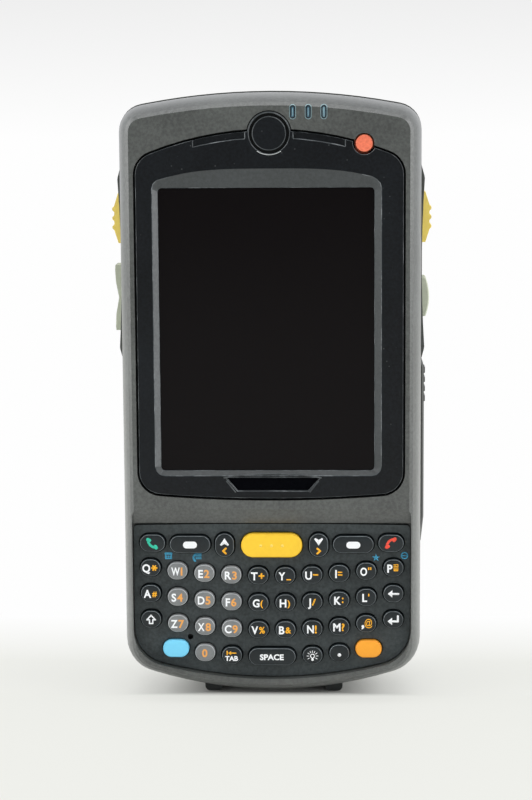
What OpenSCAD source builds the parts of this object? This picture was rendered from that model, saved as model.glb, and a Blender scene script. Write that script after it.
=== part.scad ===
// Portable barcode data terminal, standing on its feet.
// +Z is up along the terminal, the face with the screen and the keys looks along -Y, +X is its right side.
// The origin is on the floor, under the middle of the terminal. All sizes are in millimetres.

/* [Casing] */
// Width of the casing across its flat sides
body_w = 75; // [72:0.2:84]
// Length of the casing from its lowest to its highest point, without the feet
body_len = 151; // [144:0.5:166]
// Depth of the front housing, from its face to the parting line
front_d = 12; // [12:0.5:18]
// Depth of the rear housing, from the parting line to the battery's seat
rear_d = 15; // [15:0.5:22]
// How far the head stands behind the battery's seat
head_d = 7; // [6:0.5:14]
// Rise of the head above the front housing
head_rise = 0.3; // [0.1:0.1:1]
// Thickness of the housings' side walls
wall = 2; // [1.6:0.1:2.2]
// Thickness of the front housing's face
face_t = 2.4; // [2.2:0.1:2.6]
// Radius of the long curve across the top end
top_r = 170; // [150:5:400]
// Radius of the long curve across the bottom end
bottom_r = 102; // [98:2:400]
// Radius of the two upper corners
top_corner_r = 6.5; // [5.5:0.5:9]
// Radius of the two lower corners
bottom_corner_r = 9; // [8:0.5:12]
// How far the rounded front edge reaches in from the side
edge_w = 3.1; // [2:0.1:3.4]
// How far the rounded front edge reaches back from the face
edge_d = 11; // [8:0.5:11.5]
// Angle between the face and the rounded front edge where they meet
edge_angle = 12; // [5:1:24]

/* [Feet and shelf] */
// How far the feet stand below the casing
foot_drop = 2.1; // [1.6:0.1:6]
// Width of one foot
foot_w = 4.4; // [3.6:0.2:8]
// Distance between the middles of the feet
foot_pitch = 31; // [29:0.2:40]
// How far the shelf under the battery stands behind the battery's seat
shelf_d = 8; // [5:0.5:12]
// Distance from the casing's side to the shelf under the battery
shelf_side = 11.4; // [9:0.2:16]

/* [Display] */
// Distance from the casing's side to the display bezel
bezel_side = 4.7; // [4.3:0.1:5.4]
// Height of the flat band between the bezel and the slope above the keypad
band_h = 2.7; // [2.3:0.1:6]
// Distance from the casing's top to the bezel's top
bezel_drop = 9.2; // [8.9:0.1:10.4]
// Distance from the bezel's side to the screen
screen_side = 6.25; // [6:0.05:9]
// Distance from the bezel's top to the screen's top
screen_drop = 13.9; // [13:0.1:16]
// Distance from the bezel's bottom to the screen's bottom
screen_up = 6.9; // [6.5:0.1:7.7]
// How far the screen's middle lies beside the bezel's middle
screen_shift = -0.85; // [-1.2:0.05:0.8]
// Width of the sloped frame around the screen
slope_w = 1.6; // [1:0.1:1.9]
// Thickness of the touch panel
panel_t = 1; // [0.7:0.1:1.2]
// Radius of the round boss at the bezel's top
boss_r = 4.1; // [3.4:0.1:4.3]
// Width of the groove around the round boss
boss_groove = 1.2; // [0.6:0.1:1.3]

/* [Keypad] */
// Distance from the casing's side to the keypad plate
plate_side = 2.8; // [2.5:0.1:3.2]
// Height of the keypad plate
plate_h = 39.3; // [39:0.1:40.4]
// Distance from the casing's lowest point to the keypad plate
plate_up = 4.6; // [4.4:0.1:5.2]
// How far the keypad plate lies behind the casing's face
plate_sink = 2.3; // [2:0.1:2.6]
// Thickness of the keypad plate
plate_t = 1.2; // [1:0.1:1.3]
// Height of the slope above the keypad
shelf_slope = 4.2; // [2:0.1:5]
// Distance from the plate's side to the middle of the outer letter keys
key_side = 4.22; // [3.9:0.02:5]
// Distance from the plate's lowest point to the bottom row of keys
row_up = 5.35; // [5:0.05:6]
// Distance from the plate's top to the top row of keys
row_drop = 5.35; // [4.6:0.05:6]
// Space between neighbouring letter keys
key_space = 1.66; // [1.5:0.02:2.2]
// Space between two rows of letter keys
row_space = 2.5; // [2.3:0.05:3]
// How far a key stands out of the keypad plate
key_rise = 1.4; // [1:0.1:1.8]
// How far a key travels
key_travel = 0.7; // [0.4:0.05:0.8]
// Gap around a key in the keypad plate
key_gap = 0.25; // [0.15:0.05:0.35]

/* [Side buttons and power button] */
// Length of a yellow scan button
scan_len = 12.6; // [10:0.2:13.4]
// Length of the volume rocker
rocker_len = 16.6; // [12:0.2:17.4]
// Length of the action button
action_len = 10; // [7:0.2:12]
// How far the scan buttons stand out of the side
scan_out = 2.5; // [2:0.1:4]
// How far the rocker and the action button stand out of the side
rocker_out = 2; // [1.4:0.1:3]
// Thickness of the side buttons, front to back
button_t = 6.4; // [4:0.2:7]
// Travel of the side buttons and of the power button
button_travel = 0.7; // [0.4:0.05:0.8]
// Height of the raised pad around the side buttons
pad_rise = 1; // [1:0.1:2.4]
// Depth of the scallop in the raised pad
scallop = 0.8; // [0.4:0.1:0.9]
// Radius of the power button
power_r = 2.1; // [1.8:0.1:2.4]

/* [Battery] */
// Depth of the battery pack behind its seat
battery_d = 15; // [11:0.5:22]
// How far the battery pack stands out beside the casing
battery_over = 1.4; // [0.6:0.1:2.4]
// Height of the battery pack
battery_h = 73.4; // [70:0.2:74]
// Distance from the casing's side to the battery block that reaches into the bay
block_side = 13.8; // [13.6:0.1:18]
// Height of the battery block
block_h = 62; // [50:1:62]
// How far the battery block reaches into the bay
block_d = 7.6; // [5:0.2:8]
// How far the latches travel
latch_travel = 1.2; // [0.9:0.1:1.3]

/* [Stylus] */
// Radius of the stylus
stylus_r = 2.3; // [1.8:0.1:2.4]
// Distance between the lower screws and the end of the stylus
stylus_foot = 5.5; // [3:0.5:30]

/* [Fits] */
// Gap between the bezel and the front housing
bezel_gap = 0.55; // [0.3:0.05:0.6]
// Gap between the keypad plate and the front housing
plate_gap = 0.2; // [0.1:0.05:0.3]
// Gap around the buttons in their holes
button_gap = 0.15; // [0.1:0.05:0.25]
// Gap between the battery pack and what surrounds it
battery_gap = 0.4; // [0.2:0.05:0.6]
// Gap between a pin, a stylus or a screw and its hole
pin_gap = 0.06; // [0.04:0.01:0.1]

/* [Hidden] */
$fn = 48;
eps = 0.01;

// Levels from front to back
total_d = front_d + rear_d + battery_d;
y_face = -total_d / 2;
y_split = y_face + front_d;
y_seat = y_split + rear_d;
y_head = y_seat + head_d;
y_back = y_seat + battery_d;
y_wall = y_face + face_t;
bezel_sink = 0.15;
bezel_t = 1.45;
y_bezel = y_face + bezel_sink;
y_panel = y_bezel + bezel_t;
y_lcd = y_panel + panel_t;
y_board = y_face + 6.6;
board_t = 1.2;
y_plate = y_face + plate_sink;
y_plate_back = y_plate + plate_t;
flange_t = 0.5;
flange_gap = 0.1;
mat_t = 0.6;

// Widths and heights that the margins leave
bezel_w = body_w - 2 * bezel_side;
plate_w = body_w - 2 * plate_side;
bezel_h = body_len - bezel_drop - plate_up - plate_h - shelf_slope - band_h;
screen_w = bezel_w - 2 * screen_side;
screen_h = bezel_h - screen_up - screen_drop;
shelf_w = body_w - 2 * shelf_side;
battery_w = body_w + 2 * battery_over;
block_w = body_w - 2 * block_side;

// Heights
z_low = foot_drop;
z_top = z_low + body_len;
z_bezel_top = z_top - bezel_drop;
z_bezel = z_bezel_top - bezel_h;
z_screen = z_bezel + screen_up;
z_plate = z_low + plate_up;
z_plate_top = z_plate + plate_h;
seat_gap = 0.5;
z_battery = z_low + 10.5;
z_battery_top = z_battery + battery_h;
z_head = z_battery_top + seat_gap;

// Display
bezel_r = 80;
bezel_bottom_r = 350;
bezel_corner_r = 5.5;
ledge = 1.5;
plate_ledge = 0.9;
panel_margin = 2.6;
lcd_margin = 3.2;
boss_z = z_bezel_top - 0.65;
boss_gap = 0.25;
ear_z = z_bezel + 1.8;
ear_x = 0.5;
ear_h = 3.4;
ear_w = 17.6;
ear_slant = 3;
lip_in = 5.9;
lip_out = 18.6;
lip_h = 1.7;
lip_d = 0.4;

// Indicator lenses
led_x = 5.8;
led_pitch = 3.8;
led_count = 3;
led_w = 1.75;
led_h = 3.7;
led_z = z_top - 4.7;

// Power button
power_side = 14.3;
power_x = body_w / 2 - power_side;
power_z = z_top - 12.3;
power_gap = 0.35;
power_flange = 0.8;

// Keypad: rows 1 to 5 count from the top, and each row curves up towards its ends
plate_r = 112;
plate_corner_r = 9;
top_row_gap = 0.8;
row_pitch = (plate_h - row_up - row_drop - top_row_gap) / 4;
key_pitch = (plate_w / 2 - key_side) / 4.5;
key_w = key_pitch - key_space;
key_h = row_pitch - row_space;
row_z = [for (i = [0:4]) z_plate + row_up + (4 - i) * row_pitch + (i == 0 ? top_row_gap : 0)];
row_curve = [0.0007, 0.0022, 0.0026, 0.0029, 0.0034];
top_side = 1.6;
top_gap = 1.1;
scan_gap = 1.7;
call_key_w = key_w + 1.3;
call_x = plate_w / 2 - top_side - call_key_w / 2;
arrow_key_w = key_h + 0.4;
arrow_key_h = key_h + 1.65;
scan_key_w = 3 * (key_pitch - key_space);
arrow_x = scan_key_w / 2 + scan_gap + arrow_key_w / 2;
soft_key_w = call_x - call_key_w / 2 - arrow_x - arrow_key_w / 2 - 2 * top_gap;
soft_x = arrow_x + arrow_key_w / 2 + top_gap + soft_key_w / 2;
wide_key_w = key_w + 1.5;
wide_gap = 1.5;
wide_x = 2.5 * key_pitch + key_w / 2 + wide_gap + wide_key_w / 2;
space_key_w = 3 * key_pitch - key_w - 2 * key_space;
crown_d = 0.45;
crown_in = 0.5;
flange_w = 0.4;
pillar_r = 1.3;
pillar_gap = 0.08;
mic_side = 3.75;
mic_x = -2.5 * key_pitch - mic_side;
mic_r = 0.7;

// Side buttons
side_z = z_top - 31.4;
lower_side_z = z_top - 51.5;
pad_z = z_top - 42.6;
pad_h = 45.4;
pad_reach = body_w / 2 + pad_rise;
pad_floor = pad_reach - scallop;
side_y = y_split + 7.5;
pad_front = y_split + 0.4;
pad_back = y_seat - 0.4;
side_flange_t = 0.8;
side_flange_w = 0.8;
inner_x = body_w / 2 - wall;
rocker_pin_r = 0.6;
rocker_pin_len = 1.2;
rocker_pin_x = inner_x + 1.2;
tooth_h = 0.5;
tooth_count = 3;
tooth_pitch = 2.3;

// Battery, its bay and its latches
bay_wall = 1.5;
bay_w = block_w + 2 * battery_gap;
bay_h = block_h + 2 * battery_gap;
bay_d = block_d + battery_gap;
bay_z = z_battery + (battery_h - bay_h) / 2;
back_round_w = 4.5;
back_round_d = 5;
latch_z = z_battery_top - 8.5;
latch_h = 9;
latch_t = 5;
latch_y = y_seat + 4.5;
latch_out = battery_w / 2 + 0.3;
arm_h = 5;
arm_t = 1.2;
arm_x = body_w / 2 - wall - 2.8;
latch_in = latch_out - arm_x + arm_t / 2;
nose = 1.4;
nose_t = 1.5;
seat_wall = 2;

// Screws and their bosses
boss_outer_r = 2.5;
screw_r = 0.95;
screw_head_r = 1.9;
screw_head_h = 1.2;
screw_bite = 6;
top_screw_side = 15.4;

// Stylus and its silo
silo_wall = 0.85;
stylus_side = 8.1;
stylus_x = body_w / 2 - stylus_side;
stylus_y = y_split + 6;
cap_r = stylus_r + 0.75;
cap_h = 4;
stylus_top = z_top - 3;
lower_screw_z = z_plate_top + 4.4;
stylus_low = lower_screw_z + boss_outer_r + stylus_foot;
tip_r = 0.7;
tip_h = 6;

// Screws: each is [x, z]
screws = [for (s = [-1, 1]) each [
    [s * (body_w / 2 - top_screw_side), z_top - 6.3],
    [s * (inner_x - boss_outer_r - 0.3), lower_screw_z],
    [s * (body_w / 2 - 6.1), z_low + 13.1]]];

// Head: scan window, scan engine, camera and speaker
window_w = 27;
window_d = 13;
window_t = 1.4;
window_y = y_split + 10;
window_z = z_top - 2.9;
frame_w = 2;
engine_w = 22;
engine_h = 14.5;
engine_z = window_z - 17.4;
engine_d = 13.5;
lens_r = 3.2;
camera_x = -14;
camera_z = z_top - 31;
camera_r = 4.2;
flash_r = 1.6;
flash_drop = 9;
speaker_x = 12;
speaker_z = z_top - 35;
speaker_r = 8;
speaker_t = 3;
slot_count = 5;
slot_pitch = 2.6;
slot_w = 1.1;
slot_len = 9;

// Docking connector in the bottom end
dock_w = 20;
dock_t = 5.6;
dock_y = y_split + 7;
dock_recess = 2.6;

HOUSING = [0.25, 0.26, 0.24];
BLACK = [0.09, 0.1, 0.11];
PLATE = [0.17, 0.19, 0.2];
GREY_KEY = [0.45, 0.47, 0.47];
YELLOW = [0.96, 0.76, 0.2];
SAGE = [0.6, 0.63, 0.5];

// One row of letter keys has ten keys, and a grey block of three shares one node
letters = [
    ["q", "w", "e", "r", "t", "y", "u", "i", "o", "p"],
    ["a", "s", "d", "f", "g", "h", "j", "k", "l", "backspace"],
    ["shift", "z", "x", "c", "v", "b", "n", "m", "comma", "enter"]];
grey_blocks = ["number_keys_123", "number_keys_456", "number_keys_789"];

function column_x(column) = (column - 4.5) * key_pitch;
function key_z(row, x) = row_z[row] + row_curve[row] * x * x;

// Each key is [node, [[x, z, width, height], ...], colour]
row_keys = [for (row = [0:2]) for (column = [0, for (c = [4:9]) c])
    let (x = column_x(column))
    [str("key_", letters[row][column]), [[x, key_z(row + 1, x), key_w, key_h]], BLACK]];
grey_keys = [for (row = [0:2])
    [grey_blocks[row],
     [for (column = [1:3]) let (x = column_x(column)) [x, key_z(row + 1, x), key_w, key_h]], GREY_KEY]];
top_keys = [for (k = [
        ["key_call", -call_x, call_key_w, key_h, BLACK],
        ["key_soft_left", -soft_x, soft_key_w, key_h, BLACK],
        ["key_up", -arrow_x, arrow_key_w, arrow_key_h, BLACK],
        ["key_scan", 0, scan_key_w, arrow_key_h, YELLOW],
        ["key_down", arrow_x, arrow_key_w, arrow_key_h, BLACK],
        ["key_soft_right", soft_x, soft_key_w, key_h, BLACK],
        ["key_end", call_x, call_key_w, key_h, BLACK]])
    [k[0], [[k[1], key_z(0, k[1]), k[2], k[3]]], k[4]]];
bottom_keys = [for (k = [
        ["key_blue", -wide_x, wide_key_w, key_h, "deepskyblue"],
        ["key_0", column_x(2), key_w, key_h, GREY_KEY],
        ["key_tab", column_x(3), key_w, key_h, BLACK],
        ["key_space", 0, space_key_w, key_h, BLACK],
        ["key_light", column_x(6), key_w, key_h, BLACK],
        ["key_dot", column_x(7), key_w, key_h, BLACK],
        ["key_orange", wide_x, wide_key_w, key_h, "orange"]])
    [k[0], [[k[1], key_z(4, k[1]), k[2], k[3]]], k[4]]];
keys = concat(top_keys, row_keys, grey_keys, bottom_keys);
caps = [for (k = keys) each k[1]];

BODY_NODES = [
    "front_housing", "display_bezel", "touch_panel", "lcd_module", "keypad_plate", "keypad_mat",
    "main_board", "led_lenses", "rear_housing", "scan_window", "scan_engine", "camera_module",
    "housing_screws", "battery_pack", "battery_latch_left", "battery_latch_right", "stylus",
    "power_button", "scan_button_left", "scan_button_right", "volume_rocker", "action_button"];

// ---- Outlines, as points [x, z] that run anticlockwise as seen from the front ----

function arc(cx, cz, r, a0, a1, steps) =
    [for (i = [0:steps]) let (a = a0 + (a1 - a0) * i / steps) [cx + r * cos(a), cz + r * sin(a)]];

// A shape with straight sides, and with long curves across its top and its bottom.
// inset moves the whole outline inwards by the same distance.
function barrel(w, z0, z1, top_curve, bottom_curve, top_corner, bottom_corner, inset = 0, cx = 0) =
    let (
        xt = w / 2 - top_corner,
        xb = w / 2 - bottom_corner,
        ct = z1 - top_curve,
        cb = z0 + bottom_curve,
        zt = ct + sqrt(pow(top_curve - top_corner, 2) - xt * xt),
        zb = cb - sqrt(pow(bottom_curve - bottom_corner, 2) - xb * xb),
        at = atan2(zt - ct, xt),
        ab = atan2(cb - zb, xb),
        rt = max(top_corner - inset, 0.05),
        rb = max(bottom_corner - inset, 0.05))
    concat(
        arc(cx + xt, zt, rt, 0, at, 7),
        arc(cx, ct, top_curve - inset, at + 0.5, 179.5 - at, 14),
        arc(cx - xt, zt, rt, 180 - at, 180, 7),
        arc(cx - xb, zb, rb, 180, 180 + ab, 7),
        arc(cx, cb, bottom_curve - inset, 180.5 + ab, 359.5 - ab, 14),
        arc(cx + xb, zb, rb, 360 - ab, 360, 7));

function casing(inset = 0, rise = 0) =
    barrel(body_w, z_low, z_top + rise, top_r, bottom_r, top_corner_r, bottom_corner_r, inset);

function head_outline(inset = 0) =
    barrel(body_w, z_head, z_top + head_rise, top_r, 2000, top_corner_r, 3, inset);

function bezel_outline(inset = 0) =
    barrel(bezel_w, z_bezel, z_bezel_top, bezel_r, bezel_bottom_r, bezel_corner_r, bezel_corner_r, inset);

function plate_outline(inset = 0) =
    barrel(plate_w, z_plate, z_plate_top, 2000, plate_r, 1, plate_corner_r, inset);

// The opening around the screen, as a ring of points: grow is how far it is wider than the screen
function screen_outline(grow, up, down, r, cx) =
    let (x = screen_w / 2 + grow - r, z0 = z_screen - down + r, z1 = z_screen + screen_h + up - r)
    concat(
        arc(cx + x, z1, r, 0, 90, 3), arc(cx - x, z1, r, 90, 180, 3),
        arc(cx - x, z0, r, 180, 270, 3), arc(cx + x, z0, r, 270, 360, 3));

function battery_outline(inset = 0) =
    barrel(battery_w, z_battery, z_battery_top, 2000, 160, 4, 30, inset);

// ---- Shapes that repeat ----

module prism(points, y0, y1) {
    translate([0, y1, 0]) rotate([90, 0, 0]) linear_extrude(y1 - y0) polygon(points);
}

module rod(x, z, r, y0, y1) {
    translate([x, y1, z]) rotate([90, 0, 0]) cylinder(r = r, h = y1 - y0);
}

module box(x0, x1, y0, y1, z0, z1) {
    translate([x0, y0, z0]) cube([x1 - x0, y1 - y0, z1 - z0]);
}

// A closed skin over rings of equally many points: each ring is [y, points]
module skin(rings) {
    n = len(rings[0][1]);
    last = len(rings) - 1;
    points = [for (r = rings) for (p = r[1]) [p[0], r[0], p[1]]];
    sides = [for (k = [0:last - 1]) for (i = [0:n - 1])
        let (a = k * n + i, b = k * n + (i + 1) % n, c = b + n, d = a + n)
        each [[a, b, c], [a, c, d]]];
    front = [for (i = [n - 1:-1:0]) i];
    back = [for (i = [0:n - 1]) last * n + i];
    polyhedron(points, concat([front, back], sides));
}

// A slot shape, w wide and h high, with round ends on its shorter sides
module slot_shape(w, h) {
    r = min(w, h) / 2;
    for (s = [-1, 1]) translate([w > h ? s * (w / 2 - r) : 0, w > h ? 0 : s * (h / 2 - r)]) circle(r);
    square([w > h ? w - 2 * r : w, w > h ? h : h - 2 * r], center = true);
}

module slot(x, z, w, h, y0, y1) {
    translate([x, y1, z]) rotate([90, 0, 0]) linear_extrude(y1 - y0) slot_shape(w, h);
}

// ---- Front of the terminal ----

module front_outer() {
    rounded = [for (i = [0:6]) let (a = edge_angle + (90 - edge_angle) * i / 6)
        [y_face + edge_d * (1 - cos(a) / cos(edge_angle)),
         casing(edge_w * (1 - (sin(a) - sin(edge_angle)) / (1 - sin(edge_angle))))]];
    skin(concat(rounded, [[y_split, casing()]]));
}

// The hollow recess over the keypad: a slope under the bezel, then the plate's own pocket
module keypad_recess() {
    slope_z = z_plate_top + shelf_slope;
    half = plate_w / 2 + plate_gap;
    intersection() {
        prism(barrel(2 * half, z_plate - plate_gap, slope_z + 1, 2000, plate_r + plate_gap, 3, plate_corner_r + plate_gap),
            y_face - 1, y_plate_back);
        translate([-half - 1, 0, 0]) rotate([90, 0, 90]) linear_extrude(2 * half + 2) polygon([
            [y_face - 1, z_low - foot_drop], [y_face - 1, slope_z + shelf_slope / plate_sink],
            [y_plate, z_plate_top + plate_gap], [y_plate_back, z_plate_top + plate_gap],
            [y_plate_back, z_low - foot_drop]]);
    }
}

module front_housing() color(HOUSING) difference() {
    front_outer();
    difference() {
        union() {
            prism(casing(wall + 1.2), y_wall, y_split + 1);
            prism(casing(wall), y_board - 1, y_split + 1);
        }
        // the keypad plate rests on this rim
        difference() {
            prism(plate_outline(-wall - 1), y_wall - 1, y_plate_back + 1);
            prism(plate_outline(plate_ledge), y_wall - 2, y_plate_back + 2);
        }
        for (s = screws) rod(s[0], s[1], boss_outer_r, y_wall - 1, y_split);
    }
    // the bezel sits in a step, with a narrower opening behind it
    prism(bezel_outline(-bezel_gap), y_face - 1, y_panel);
    rod(0, boss_z, boss_r + boss_groove + boss_gap, y_face - 1, y_panel);
    prism(bezel_outline(ledge), y_face - 1, y_wall + 1);
    keypad_recess();
    prism(plate_outline(plate_ledge), y_face - 1, y_plate_back + 2);
    for (i = [0:led_count - 1]) slot(led_x + i * led_pitch, led_z, led_w, led_h, y_face - 1, y_wall + 1);
    rod(power_x, power_z, power_r + power_gap, y_face - 1, y_wall + 1);
    for (s = screws) rod(s[0], s[1], screw_r + pin_gap, y_split - screw_bite, y_split + 1);
}

module display_bezel() color(BLACK) difference() {
    union() {
        prism(bezel_outline(), y_bezel, y_panel);
        rod(0, boss_z, boss_r + boss_groove, y_bezel, y_panel);
    }
    // the frame slopes down to the touch panel
    skin([
        [y_bezel - 0.2, screen_outline(slope_w + 0.2, slope_w + 1, 1.4, 2.6, screen_shift + 0.2)],
        [y_panel - 0.3, screen_outline(0, 0, 0, 0.9, screen_shift)],
        [y_panel + 0.2, screen_outline(0, 0, 0, 0.9, screen_shift)]]);
    // groove around the round boss
    translate([0, y_bezel, boss_z]) rotate([90, 0, 0]) difference() {
        translate([0, 0, -0.7]) cylinder(r = boss_r + boss_groove - 0.3, h = 2);
        translate([0, 0, -0.9]) cylinder(r = boss_r, h = 3);
    }
    // dark slot under the screen, wider at its top
    prism([[ear_x - ear_w / 2, ear_z], [ear_x + ear_w / 2, ear_z], [ear_x + ear_w / 2 + ear_slant, ear_z + ear_h],
        [ear_x - ear_w / 2 - ear_slant, ear_z + ear_h]], y_bezel - 1, y_bezel + 0.8);
    // shallow step along the upper edge
    for (s = [-1, 1]) intersection() {
        difference() {
            prism(bezel_outline(-1), y_bezel - 1, y_bezel + lip_d);
            translate([0, 0, -lip_h]) prism(bezel_outline(), y_bezel - 2, y_bezel + 1);
        }
        box(s > 0 ? lip_in : -lip_out, s > 0 ? lip_out : -lip_in, y_bezel - 3, y_bezel + 3,
            z_bezel_top - 8, z_bezel_top + 2);
    }
    rod(power_x, power_z, power_r + power_gap + 0.35, y_bezel - 1, y_panel + 1);
}

module touch_panel() color([0.08, 0.07, 0.08])
    box(screen_shift - screen_w / 2 - panel_margin, screen_shift + screen_w / 2 + panel_margin,
        y_panel, y_lcd, z_screen - panel_margin, z_screen + screen_h + panel_margin);

module lcd_module() color("silver") {
    x0 = screen_shift - screen_w / 2 - lcd_margin;
    x1 = screen_shift + screen_w / 2 + lcd_margin;
    z0 = z_screen - lcd_margin;
    z1 = z_screen + screen_h + lcd_margin;
    // a fine groove parts the glass from the metal frame around it
    difference() {
        box(x0, x1, y_lcd, y_board, z0, z1);
        difference() {
            box(x0 + 1, x1 - 1, y_lcd - 1, y_lcd + 0.4, z0 + 1, z1 - 1);
            box(x0 + 1.3, x1 - 1.3, y_lcd - 2, y_lcd + 1, z0 + 1.3, z1 - 1.3);
        }
    }
}

module led_lenses() color("steelblue") for (i = [0:led_count - 1]) {
    x = led_x + i * led_pitch;
    slot(x, led_z, led_w - 2 * pin_gap, led_h - 2 * pin_gap, y_face + 0.1, y_wall + eps);
    slot(x, led_z - 1, led_w + 0.6, led_h - 1.2, y_wall, y_wall + 0.8);
}

module power_button() color("tomato") {
    rod(power_x, power_z, power_r, y_face + 0.1, y_wall + flange_gap + eps);
    rod(power_x, power_z, power_r + power_flange, y_wall + flange_gap, y_wall + flange_gap + 0.6);
}

// ---- Keypad ----

module keypad_plate() color(PLATE) difference() {
    prism(plate_outline(), y_plate, y_plate_back);
    for (k = caps) slot(k[0], k[1], k[2] + 2 * key_gap, k[3] + 2 * key_gap, y_plate - 1, y_plate_back + 1);
    rod(mic_x, key_z(4, mic_x) + 3.4, mic_r, y_plate - 1, y_plate_back + 1);
}

// One key: a cap with a sloped crown, on a wider flange that the plate holds in
module key_cap(k) {
    top = y_plate - key_rise;
    flange = y_plate_back + flange_gap;
    w = k[2];
    h = k[3];
    r = min(w, h) / 2;
    reach = max(w, h) / 2 - r;
    slot(k[0], k[1], w, h, top + crown_d, flange + flange_t);
    slot(k[0], k[1], w + 2 * flange_w, h + 2 * flange_w, flange, flange + flange_t);
    translate([k[0], top, k[1]]) {
        for (s = [-1, 1]) translate([w > h ? s * reach : 0, 0, w > h ? 0 : s * reach])
            rotate([-90, 0, 0]) cylinder(r1 = r - crown_in, r2 = r, h = crown_d + eps);
        rotate([0, w > h ? 0 : 90, 0]) rotate([90, 0, 90]) translate([0, 0, -reach])
            linear_extrude(2 * reach + eps) polygon([
                [0, crown_in - r], [0, r - crown_in], [crown_d + eps, r], [crown_d + eps, -r]]);
    }
}

module keypad_mat() color("dimgray") {
    y0 = y_board - mat_t;
    pressed = y_plate_back + flange_gap + flange_t + key_travel;
    difference() {
        prism(plate_outline(2.4), y0, y_board);
        for (s = screws) rod(s[0], s[1], boss_outer_r + 0.3, y0 - 1, y_board + 1);
    }
    for (k = caps) rod(k[0], k[1], pillar_r, pressed + pillar_gap, y0 + eps);
}

// ---- Boards ----

module main_board() color("seagreen") {
    gap = -0.2;
    back = y_board + board_t;
    difference() {
        prism(casing(wall + 1.2), y_board, back);
        for (s = screws) rod(s[0], s[1], boss_outer_r + 0.3, y_board - 1, back + 1);
    }
    // screening cans, chips and the card socket stand on the back of the board
    box(-20, 12, back + gap, back + 2.2, z_top - 52, z_top - 26);
    box(-18, 2, back + gap, back + 2.0, z_top - 74, z_top - 56);
    box(6, 18, back + gap, back + 1.4, z_top - 72, z_top - 60);
    box(-20, -10, back + gap, back + 1.2, z_top - 86, z_top - 78);
    box(-4, 14, back + gap, back + 2.0, z_top - 100, z_top - 82);
    // contact block for the battery
    box(-9, 9, back + gap, y_seat - bay_d - bay_wall - 0.3, bay_z + 2, bay_z + 6);
    // power switch
    box(power_x - 2, power_x + 2, y_wall + flange_gap + 0.7 + button_travel, y_board - gap, power_z - 2, power_z + 2);
    // docking connector, whose contacts show in the bottom end
    box(-dock_w / 2 + 0.5, dock_w / 2 - 0.5, back + gap, dock_y + dock_t / 2 - 0.5,
        z_low + wall + dock_recess + 0.3, z_low + wall + dock_recess + 3);
    box(-dock_w / 2 + 0.5, dock_w / 2 - 0.5, dock_y - dock_t / 2 + 0.5, dock_y + dock_t / 2 - 0.5,
        z_low + wall + 0.8, z_low + wall + dock_recess + 0.5);
    // side switch boards stand behind the side buttons
    for (s = [-1, 1]) {
        x = inner_x - side_flange_t - 0.1 - button_travel;
        box(s > 0 ? x - 0.8 : -x + 0.3, s > 0 ? x - 0.3 : -x + 0.8, back + gap, side_y + 2,
            lower_side_z - 9, side_z + 6);
        for (z = s > 0 ? [side_z, lower_side_z] : [side_z, lower_side_z - 5.6, lower_side_z + 5.6])
            box(s > 0 ? x - 0.5 : -x + 0.1, s > 0 ? x - 0.1 : -x + 0.5, side_y - 1.5, side_y + 1.5, z - 1.5, z + 1.5);
    }
    // loudspeaker against the head's back wall
    rod(speaker_x, speaker_z, speaker_r, y_head - wall - speaker_t, y_head - wall);
}

// ---- Rear of the terminal ----

module rear_outer() {
    skin([
        [y_split, casing()],
        [y_split + rear_d / 2, casing(0.15)],
        [y_seat - 1.2, casing(0.5)],
        [y_seat - 0.3, casing(1)],
        [y_seat, casing(1.7)]]);
    rounded = [for (i = [0:4]) let (a = 22.5 * i)
        [y_head - 3.2 * (1 - sin(a)), head_outline(0.35 + 3 * (1 - cos(a)))]];
    skin(concat([[y_split, head_outline(0.02)]], rounded));
    shelf();
    for (s = [-1, 1]) {
        side_pad(s);
        foot(s);
    }
}

// The shelf under the battery, with rounded lower corners
module shelf() {
    prism(barrel(shelf_w, z_low + 0.4, z_battery - battery_gap, 2000, bottom_r, 1, 5), y_split + 2, y_seat + shelf_d);
}

// The raised pad that carries the side buttons, scalloped between its two tips
module side_pad(s) {
    half = pad_h / 2;
    radius = (half * half + scallop * scallop) / (2 * scallop);
    mirror([s < 0 ? 1 : 0, 0, 0]) difference() {
        prism([
            [inner_x + 0.3, pad_z - half - 3], [body_w / 2 - 0.3, pad_z - half - 3],
            [pad_reach - 0.2, pad_z - half + 1], [pad_reach, pad_z - half + 2.4],
            [pad_reach, pad_z + half - 2.4], [pad_reach - 0.2, pad_z + half - 1],
            [body_w / 2 - 0.3, pad_z + half + 3], [inner_x + 0.3, pad_z + half + 3]],
            pad_front, pad_back);
        translate([pad_floor + radius, pad_back + 1, pad_z]) rotate([90, 0, 0])
            cylinder(r = radius, h = pad_back - pad_front + 2, $fn = 200);
    }
}

module foot(s) {
    x = s * foot_pitch / 2;
    box(x - foot_w / 2, x + foot_w / 2, y_split + 0.5, y_seat + shelf_d - 0.6, 0, z_low + 3);
}

// What the hollow inside of the rear housing leaves standing
module rear_kept() {
    box(-bay_w / 2 - bay_wall, bay_w / 2 + bay_wall, y_seat - bay_d - bay_wall, y_seat + 1,
        bay_z - bay_wall, bay_z + bay_h + bay_wall);
    translate([stylus_x, stylus_y, stylus_low - 2])
        cylinder(r = stylus_r + pin_gap + silo_wall, h = z_top - stylus_low);
    translate([stylus_x, stylus_y, stylus_top - cap_h - 2])
        cylinder(r = cap_r + pin_gap + silo_wall, h = cap_h + 4);
    for (s = screws) rod(s[0], s[1], boss_outer_r, y_split, y_head);
    box(-window_w / 2 - frame_w, window_w / 2 + frame_w, window_y - window_d / 2 - frame_w,
        window_y + window_d / 2 + frame_w, window_z - window_t - 2, z_top);
    box(-dock_w / 2 - 2, dock_w / 2 + 2, dock_y - dock_t / 2 - 2, dock_y + dock_t / 2 + 2, z_low,
        z_low + wall + dock_recess);
}

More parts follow.
